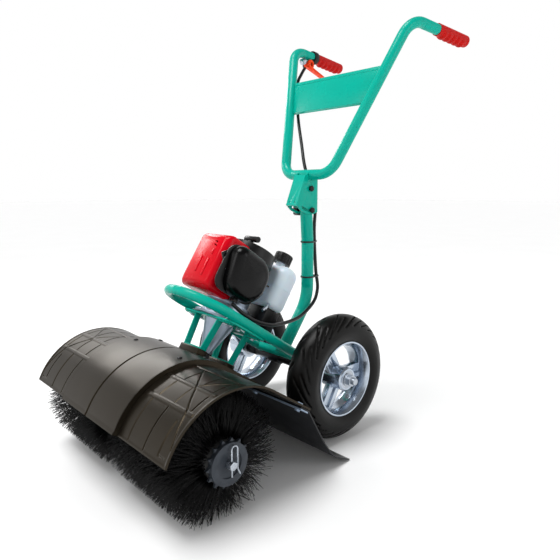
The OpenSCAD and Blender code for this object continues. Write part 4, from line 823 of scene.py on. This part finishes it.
# Long grooves start near the crown, and short ones half a step on start further out
GROOVE_STARTS = ((0.06, 0.0), (0.5, 0.5))
SIDE_RINGS, RING_DEEP, RING_SPAN = (1.3, 1.42, 1.75), 0.35, (0.015, 0.04)


def wheel_place(side):
    """A wheel's place, with Z along the axle to the outside."""
    quarter = math.pi / 2 if side == "left" else -math.pi / 2
    return Matrix.Translation(WHEELS[side]) @ Matrix.Rotation(quarter, 4, "Y")


def tread(turn, section):
    """Depth of the tread at an angle round the wheel and an angle round the section, crown at zero."""
    depth = np.zeros_like(turn)
    step = 2 * math.pi / GROOVES_ROUND
    for hand, shift in ((1, 0.0), (-1, 0.5)):
        out = hand * section
        for start, offset in GROOVE_STARTS:
            sweep = TREAD_SWEEP * np.sign(out) * np.abs(out) ** TREAD_CURVE
            line = turn - step * (shift + offset) - sweep
            away = np.abs((line + step / 2) % step - step / 2) * TYRE_R
            opens = step_up(out, start, start + TREAD_FADE)
            along = opens * (1 - step_up(out, TREAD_END - TREAD_FADE, TREAD_END))
            depth = np.maximum(depth, along * (1 - step_up(away, *TREAD_SPAN)))
    rings = sum(RING_DEEP * (1 - step_up(np.abs(np.abs(section) - at), *RING_SPAN)) for at in SIDE_RINGS)
    return TREAD_DEEP * depth + rings


def tyre(side):
    clear_selection()
    bpy.ops.mesh.primitive_torus_add(major_segments=TYRE_STEPS, minor_segments=SECTION_STEPS,
                                     major_radius=TYRE_RING, minor_radius=TYRE_HALF)
    obj = bpy.context.object
    co = np.array([v.co[:] for v in obj.data.vertices])
    turn = np.arctan2(co[:, 1], co[:, 0])
    section = np.arctan2(co[:, 2], np.hypot(co[:, 0], co[:, 1]) - TYRE_RING)
    round_r = TYRE_HALF - tread(turn, section)
    out = np.maximum(TYRE_RING + round_r * np.cos(section), BEAD_R)
    moved = np.stack([out * np.cos(turn), out * np.sin(turn), round_r * np.sin(section)], 1)
    obj.data.vertices.foreach_set("co", moved.ravel())
    obj.data.update()
    settle(obj, wheel_place(side))
    dress(obj, "tyre_tread_" + side, tyre_rubber, "wheel_" + side, "tyre_rubber", "tyre_" + side, smooth=60)


for side in SIDES:
    tyre(side)
print("tyre radius", round(TYRE_R), "mm")

# %% [markdown]
# The rims are castings: a spun barrel whose edge is thin and whose inside is dished, a hub, and three broad
# spokes. Each spoke is a pair of arms with a thinner web between them, so it has a sunk face with raised
# edges.

# %% Rims
SPOKES = 3
BARREL = [(89, 32), (89, 28), (79, 20), (79, -20), (89, -28), (89, -32), (85.5, -32), (83, -29),
          (76.5, -20), (75, -10), (75, 8), (76.5, 16), (83, 28), (85.5, 32)]
HUB = [(21, -24), (28, -24), (28, 33), (25, 36), (21, 36)]
ARM_LOW, ARM_HIGH = Vector((24, 6, -8)), Vector((77, 18, 8))
WEB_LOW, WEB_HIGH = Vector((26, -6.5, -6)), Vector((77, 6.5, 3.5))
SPOKE_BOXES = [(ARM_LOW, ARM_HIGH), (WEB_LOW, WEB_HIGH),
               (Vector((ARM_LOW.x, -ARM_HIGH.y, ARM_LOW.z)), Vector((ARM_HIGH.x, -ARM_LOW.y, ARM_HIGH.z)))]
SPOKE_ROUND = 1.6


def rim(side):
    pieces = [spun(BARREL, steps=160), spun(HUB, steps=64)]
    for i in range(SPOKES):
        for low, high in SPOKE_BOXES:
            arm = box_piece(low, high)
            round_edges(arm, SPOKE_ROUND)
            arm.rotation_euler = (0, 0, math.pi / 2 + 2 * math.pi * i / SPOKES)
            make_active(arm)
            bpy.ops.object.transform_apply(rotation=True)
            pieces.append(arm)
    obj = joined(pieces)
    settle(obj, wheel_place(side))
    dress(obj, "cast_rim_" + side, polished_cast, "wheel_" + side, "cast_alloy", "rim_" + side, smooth=40)


for side in SIDES:
    rim(side)
print("spokes a wheel:", SPOKES)

# %% [markdown]
# ## Engine cover
# The red cover is a moulded box with large soft corners. It starts as a cube at its size. The edges of its
# front get a wide bevel first and the rest a narrower one, and the front is inset and lifted. Two slots are
# cut with a boolean, and three raised bars stand on the front.

# %% Red cover
COVER_LOW, COVER_HIGH = Vector((-74, -107, 30)), Vector((38, -30, 166))
COVER_FRONT_ROUND, COVER_ROUND = 19, 8
FRONT_INSET, FRONT_RAISE = 6, 2.2
FRONT_FACING, FRONT_AREA = -0.99, 3000
NEAR = 1
SLOTS = [(4.6, 141.0), (6.0, 132.0)]
SLOT_HALF = Vector((5.5, 6.0, 1.8))
SLOT_SLANT = math.radians(22)
# Raised bars on the front, as place across, lower end and upper end
COVER_BARS = [(-22, 62, 102), (6, 56, 98), (8, 108, 122)]
BAR_HALF, BAR_PROUD, BAR_ROOT, BAR_ROUND = 3.5, 4.0, 3.0, 1.8


def cover_bar(x, low, high):
    bar = box_piece((x - BAR_HALF, COVER_LOW.y - BAR_PROUD, low),
                    (x + BAR_HALF, COVER_LOW.y + BAR_ROOT, high))
    round_edges(bar, BAR_ROUND)
    return bar


cover = box_piece(COVER_LOW, COVER_HIGH)
bevel_edges(cover, lambda a, b: max(a.y, b.y) < COVER_LOW.y + NEAR, COVER_FRONT_ROUND, segments=6)
round_edges(cover, COVER_ROUND, segments=4)
raise_faces(cover, lambda face: face.normal.y < FRONT_FACING and face.area > FRONT_AREA,
            FRONT_INSET, FRONT_RAISE)
for x, z in SLOTS:
    cutter = box_piece(-SLOT_HALF, SLOT_HALF)
    cutter.rotation_euler = (0, SLOT_SLANT, 0)
    cutter.location = (x, COVER_LOW.y, z)
    modify(cover, "BOOLEAN", object=cutter, operation="DIFFERENCE")
    bpy.data.objects.remove(cutter)
cover = joined([cover] + [cover_bar(*row) for row in COVER_BARS])
settle(cover, DRIVE)
dress(cover, "engine_cover", red_abs, "frame", "red_plastic", "top_cover")
print("cover faces:", len(cover.data.polygons))

# %% [markdown]
# ## Air cleaner
# The cleaner's black dome has an outline with four different corners, a round rim and a slightly crowned
# face. A bevel of that width would fold over itself at the corners. So the outline is worked out at each
# height of the rim, and the rings are joined by faces.

# %% Air cleaner outline
ROUND_STEPS = 10
LEAST_CORNER = 0.5


def rounded_outline(corners, inset):
    """Points of an outline of (y, z, radius) corners, with every side moved in by the inset."""
    points = []
    for i, (y, z, radius) in enumerate(corners):
        at = Vector((y, z))
        to_last = (Vector(corners[i - 1][:2]) - at).normalized()
        to_next = (Vector(corners[(i + 1) % len(corners)][:2]) - at).normalized()
        inwards = (to_last + to_next).normalized() / math.sin(to_last.angle(to_next) / 2)
        centre = at + inwards * (radius + max(inset - radius + LEAST_CORNER, 0))
        first = Vector((to_last.y, -to_last.x))
        last = Vector((-to_next.y, to_next.x))
        first = first if first.dot(to_next) < 0 else -first
        last = last if last.dot(to_last) < 0 else -last
        r = max(radius - inset, LEAST_CORNER)
        points += [centre + first.slerp(last, k / ROUND_STEPS) * r for k in range(ROUND_STEPS + 1)]
    return points


print("points round a corner:", ROUND_STEPS + 1)

# %% Air cleaner dome
DOME_X, DOME_DEEP = 64.9, 39.0
DOME_CORNERS = [(-112, 146, 24), (10, 146, 46), (10, 38, 46), (-88, 38, 38)]
DOME_RIM, DOME_CROWN = 23.0, 4.0
DOME_MIDDLE = Vector((-44, 92))
DOME_FACE = DOME_X + DOME_DEEP


def dome_rings():
    """The dome's outlines with their places along X: its foot, its round rim, and its crowned face."""
    rings = [(DOME_X, rounded_outline(DOME_CORNERS, 0))]
    for k in range(ROUND_STEPS + 1):
        turn = math.pi / 2 * k / ROUND_STEPS
        rings.append((DOME_FACE - DOME_RIM * (1 - math.sin(turn)) - DOME_CROWN,
                      rounded_outline(DOME_CORNERS, DOME_RIM * (1 - math.cos(turn)))))
    rim_end = rings[-1][1]
    for k in range(1, ROUND_STEPS):
        share = 1 - k / ROUND_STEPS
        rings.append((DOME_FACE - DOME_CROWN * share ** 2, [DOME_MIDDLE.lerp(at, share) for at in rim_end]))
    return rings


def dome_piece():
    rings = dome_rings()
    count = len(rings[0][1])
    around = [(i, (i + 1) % count) for i in range(count)]
    points = [(x, at.x, at.y) for x, ring in rings for at in ring] + [(DOME_FACE, *DOME_MIDDLE)]
    faces = [[k + i, k + j, k + count + j, k + count + i]
             for k in range(0, (len(rings) - 1) * count, count) for i, j in around]
    last = (len(rings) - 1) * count
    faces += [[last + i, last + j, len(points) - 1] for i, j in around] + [list(range(count))]
    return mesh_piece(points, [], faces)


dome = dome_piece()
tidy_mesh(dome)
settle(dome, DRIVE)
dress(dome, "air_cleaner_dome", black_gloss, "frame", "black_plastic", "air_cleaner_cover", smooth=50)
print("dome faces:", len(dome.data.polygons))

# %% [markdown]
# A flat flange sticks out in front of the dome, with two bright studs that hold it. The flange is one drawn
# face, thickened and bevelled. A stud is a spun outline, laid over to point to the side.

# %% Air cleaner flange and studs
FLANGE = [(-119, 112), (-93, 139), (-70, 139), (-70, 55), (-86, 48), (-100, 70), (-88, 79), (-88, 90),
          (-101, 94)]
FLANGE_X, FLANGE_T, FLANGE_ROUND = 54.0, 7.0, 1.5
STUD_SINK = 1
STUDS = [(-99, 130), (-97, 84)]
STUD = [(AXIS_HOLE, 0), (6, 0), (6, 6), (4.8, 8), (AXIS_HOLE, 8.5)]
STUD_FOOT = FLANGE_X + FLANGE_T / 2 - STUD_SINK
TO_SIDE = Matrix.Rotation(math.pi / 2, 4, "Y")


def stud_piece(y, z):
    stud = spun(STUD, steps=24)
    settle(stud, DRIVE @ Matrix.Translation(Vector((STUD_FOOT, y, z)) * MM) @ TO_SIDE)
    return stud


flange = mesh_piece([(FLANGE_X, y, z) for y, z in FLANGE], [], [list(range(len(FLANGE)))])
modify(flange, "SOLIDIFY", thickness=FLANGE_T, offset=0)
round_edges(flange, FLANGE_ROUND, sharper_than=30)
tidy_mesh(flange)
settle(flange, DRIVE)
dress(flange, "air_cleaner_flange", black_abs, "frame", "black_plastic")
studs = joined([stud_piece(y, z) for y, z in STUDS])
dress(studs, "air_cleaner_studs", galvanised, "frame", "zinc_steel")
print("flange faces:", len(flange.data.polygons), "studs:", len(STUDS))

# %% [markdown]
# ## Fuel tank
# The tank is a blown bottle: a box with round corners, a rounder shoulder, a seam where the two halves of
# its mould met, and a neck under the cap. The bevels go from the upright corners to the shoulder and the
# foot, because each needs the edges that the last one made. A short bright pipe leaves its foot.

# %% Fuel tank and its outlet
TANK_LOW, TANK_HIGH = Vector((-46, 57, 66)), Vector((70, 115, 178))
TANK_CORNER, TANK_SHOULDER, TANK_FOOT = 24.0, 22, 14
SEAM_Z, SEAM_OUT, SEAM_HALF = 121.0, 0.8, 1.6
FILLER = Vector((14, 84, 0))
NECK = [(9, 170), (12, 170), (12, 198), (9, 198)]
OUTLET = [(56, 64, 74), (64, 56, 66), (69, 48, 57), (70, 43, 50)]
OUTLET_R = 4.0
UPRIGHT_WITHIN = 0.01


def upright_edge(a, b):
    return (a.xy - b.xy).length < UPRIGHT_WITHIN


tank = box_piece(TANK_LOW, TANK_HIGH)
bevel_edges(tank, upright_edge, TANK_CORNER, segments=8)
bevel_edges(tank, lambda a, b: min(a.z, b.z) > TANK_HIGH.z - NEAR, TANK_SHOULDER, segments=8)
bevel_edges(tank, lambda a, b: max(a.z, b.z) < TANK_LOW.z + NEAR, TANK_FOOT, segments=6)
seam = box_piece((TANK_LOW.x - SEAM_OUT, TANK_LOW.y - SEAM_OUT, SEAM_Z - SEAM_HALF),
                 (TANK_HIGH.x + SEAM_OUT, TANK_HIGH.y + SEAM_OUT, SEAM_Z + SEAM_HALF))
bevel_edges(seam, upright_edge, TANK_CORNER + SEAM_OUT, segments=8)
neck = spun(NECK, steps=48)
neck.location = FILLER
make_active(neck)
bpy.ops.object.transform_apply(location=True)
tank = joined([tank, seam, neck])
settle(tank, DRIVE)
dress(tank, "fuel_tank_bottle", tank_hdpe, "frame", "tank_plastic", "fuel_tank")
outlet = tube(OUTLET, OUTLET_R, sides=16, steps=10)
settle(outlet, DRIVE)
dress(outlet, "tank_outlet", zinc_steel, "frame", "zinc_steel")
print("tank faces:", len(tank.data.polygons), "outlet points:", len(OUTLET))

# %% [markdown]
# ## Grips
# Soft red PVC sleeves with finger bumps underneath and a rolled end. A profile is spun, and the points on its
# lower side are pushed out under the fingers.

# %% Grips
GRIP_LENGTH, GRIP_R, GRIP_BORE, GRIP_FLOOR = 123.0, 14.7, 13.2, 119.0
GRIP_OUT, GRIP_DROP = math.radians(5.0), math.radians(4.5)
GRIP_RINGS, GRIP_STEPS = 90, 56
TIP_HOLE = 0.01
OUTER_FROM, SWELL = 14, 0.4
FINGERS, FINGER_DEEP, FINGER_CURVE = 5, 4.5, 1.2
FINGERS_START, FINGERS_LONG = 12, 96
END_ROUND = 4


def grip_place(side):
    """The frame of a grip: Y along the bar towards its free end, Z up."""
    low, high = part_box("grip_" + side)
    sign = 1 if side == "left" else -1
    flat = math.cos(GRIP_DROP)
    y = Vector((sign * math.sin(GRIP_OUT) * flat, math.cos(GRIP_OUT) * flat, -math.sin(GRIP_DROP)))
    x = Vector((math.cos(GRIP_OUT), -sign * math.sin(GRIP_OUT), 0))
    z = x.cross(y)
    turn = Matrix((x, y, z)).transposed().to_4x4()
    return Matrix.Translation((low + high) / 2 - y * GRIP_LENGTH * MM / 2) @ turn


def grip(side):
    skin = [(GRIP_R, float(t)) for t in np.linspace(0, GRIP_LENGTH, GRIP_RINGS)]
    ends = [(TIP_HOLE, GRIP_LENGTH), (TIP_HOLE, GRIP_FLOOR), (GRIP_BORE, GRIP_FLOOR)]
    obj = spun([(GRIP_BORE, 0.0)] + skin + ends, GRIP_STEPS)
    x, y, along = np.array([v.co[:] for v in obj.data.vertices]).T
    r = np.hypot(x, y)
    under = np.clip(-y / np.maximum(r, TIP_HOLE), 0, 1)
    share = np.clip((along - FINGERS_START) / FINGERS_LONG, 0, 1)
    bumps = FINGER_DEEP * np.abs(np.sin(math.pi * FINGERS * share)) * under ** FINGER_CURVE
    end = END_ROUND * step_up(along, GRIP_LENGTH - END_ROUND, GRIP_LENGTH) ** 2
    scale = (r + (r > OUTER_FROM) * (bumps - end + SWELL)) / np.maximum(r, TIP_HOLE)
    turned = np.stack([-x * scale, along, y * scale], 1)
    obj.data.vertices.foreach_set("co", turned.ravel())
    obj.data.update()
    tidy_mesh(obj)
    settle(obj, grip_place(side))
    dress(obj, "finger_grip_" + side, grip_pvc, "handle", "red_grip", "grip_" + side, smooth=60)


for side in SIDES:
    grip(side)
print("finger bumps a grip:", FINGERS)

# %% [markdown]
# The lever under the right grip turns on a round boss with a ring of ribs. The boss is spun, and every other
# group of its outer points is pushed in. A bright round cap closes the cable's end beside it.

# %% Lever boss and cable end
LEVER_PIN = Vector((0, -41, -28))
BOSS_IN, BOSS_OUT, BOSS_R, BOSS_BORE, BOSS_EDGE = 10.5, 19.0, 13.0, 6.5, 2.0
BOSS_RIBS, STEPS_A_RIB = 10, 8
RIBBED_FROM, RIB_SINK = 10.0, 0.88
CAP_AT = Vector((9.0, -64, -24))
CAP = [(AXIS_HOLE, -12), (8.5, -12), (8.5, 0), (7.8, 2.2), (5.6, 4.4), (3, 5.6), (AXIS_HOLE, 6)]

boss = spun([(BOSS_BORE, BOSS_IN), (BOSS_R, BOSS_IN), (BOSS_R, BOSS_OUT - BOSS_EDGE),
             (BOSS_R - BOSS_EDGE, BOSS_OUT), (BOSS_BORE, BOSS_OUT)], BOSS_RIBS * STEPS_A_RIB)
for point in boss.data.vertices:
    between_ribs = math.sin(BOSS_RIBS * math.atan2(point.co.y, point.co.x)) > 0
    if point.co.xy.length > RIBBED_FROM and between_ribs:
        point.co.xy *= RIB_SINK
settle(boss, grip_place("right") @ Matrix.Translation(LEVER_PIN * MM) @ TO_SIDE)
dress(boss, "lever_boss", orange_nylon, "throttle", "orange_plastic")
cap = spun(CAP, steps=48)
settle(cap, grip_place("right") @ Matrix.Translation(CAP_AT * MM) @ TO_SIDE)
dress(cap, "cable_end_cap", zinc_steel, "handle", "zinc_steel", smooth=60)
print("boss ribs:", BOSS_RIBS)

# %% [markdown]
# The front panel is sheet steel with a folded hem near its two long edges. Each hem shows as a thin line, so
# a thin tube is laid across the panel, a little in from each edge. The solid's own points give the edges.

# %% Panel hems
HEM_IN, HEM_R = 0.09, 1.3
EDGE_NEAR = 3.0
points = [v.co for v in frame["nodes"]["cross_panel"].data.vertices]
edge_heights = (min(p.z for p in points), max(p.z for p in points))
corners = []
for z in edge_heights:
    edge = [p for p in points if abs(p.z - z) < EDGE_NEAR * MM]
    corners.append(Vector((max(p.x for p in edge), min(p.y for p in edge), z)))
hems = []
for share in (HEM_IN, 1 - HEM_IN):
    end = corners[0].lerp(corners[1], share)
    line = [end, Vector((0, end.y, end.z)), Vector((-end.x, end.y, end.z))]
    hems.append(tube(line, HEM_R * MM, sides=12, steps=2))
dress(joined(hems), "panel_hems", teal_powder_coat, "handle", "teal_paint", smooth=60)
print("hems:", len(hems))

# %% [markdown]
# ## Throttle cable
# The cable runs from the lever's clamp down behind the riser and up to the engine.

# %% Throttle cable
AXLE_Y = WHEELS["left"].y / MM
# The route's points, in millimetres, with Y measured from the axle
CABLE_ROUTE = [(-196, 260, 946), (-186, 236, 924), (-174, 210, 896), (-136, 172, 806), (-84, 136, 712),
               (-40, 108, 640), (0, 101, 570), (0, 101, 480), (2, 106, 380), (16, 98, 322), (36, 42, 284),
               (60, -64, 270), (75, -148, 286), (78, -200, 314), (67, -229, 343)]
CABLE_R = 4.5
route = [Vector((x, y + AXLE_Y, z)) * MM for x, y, z in CABLE_ROUTE]
cable = tube(route, CABLE_R * MM, sides=20, steps=14)
make_active(cable)
cable.name = "throttle_cable_sheath"
bpy.ops.object.shade_smooth()
cable.data.materials.clear()
cable.data.materials.append(cable_pvc)
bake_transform(cable)
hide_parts("throttle_cable")
print("cable points:", len(CABLE_ROUTE))

# %% [markdown]
# ## Starter rope
# The rope is wound up inside the engine, so at rest only a stub of it is there.

# %% Starter rope
ROPE_AT = Vector((20, -34, 0))
ROPE_LOW, ROPE_HIGH, ROPE_R = 176.5, 184.0, 1.9
rope = spun([(AXIS_HOLE, ROPE_LOW), (ROPE_R, ROPE_LOW), (ROPE_R, ROPE_HIGH), (AXIS_HOLE, ROPE_HIGH)],
            steps=16)
rope_place = DRIVE @ Matrix.Translation(ROPE_AT * MM)
settle(rope, rope_place)
rope.name = "starter_rope"
bpy.ops.object.shade_smooth_by_angle(angle=math.radians(SMOOTH_BELOW))
rope.data.materials.append(tie_nylon)
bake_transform(rope)
print("rope points:", len(rope.data.vertices))
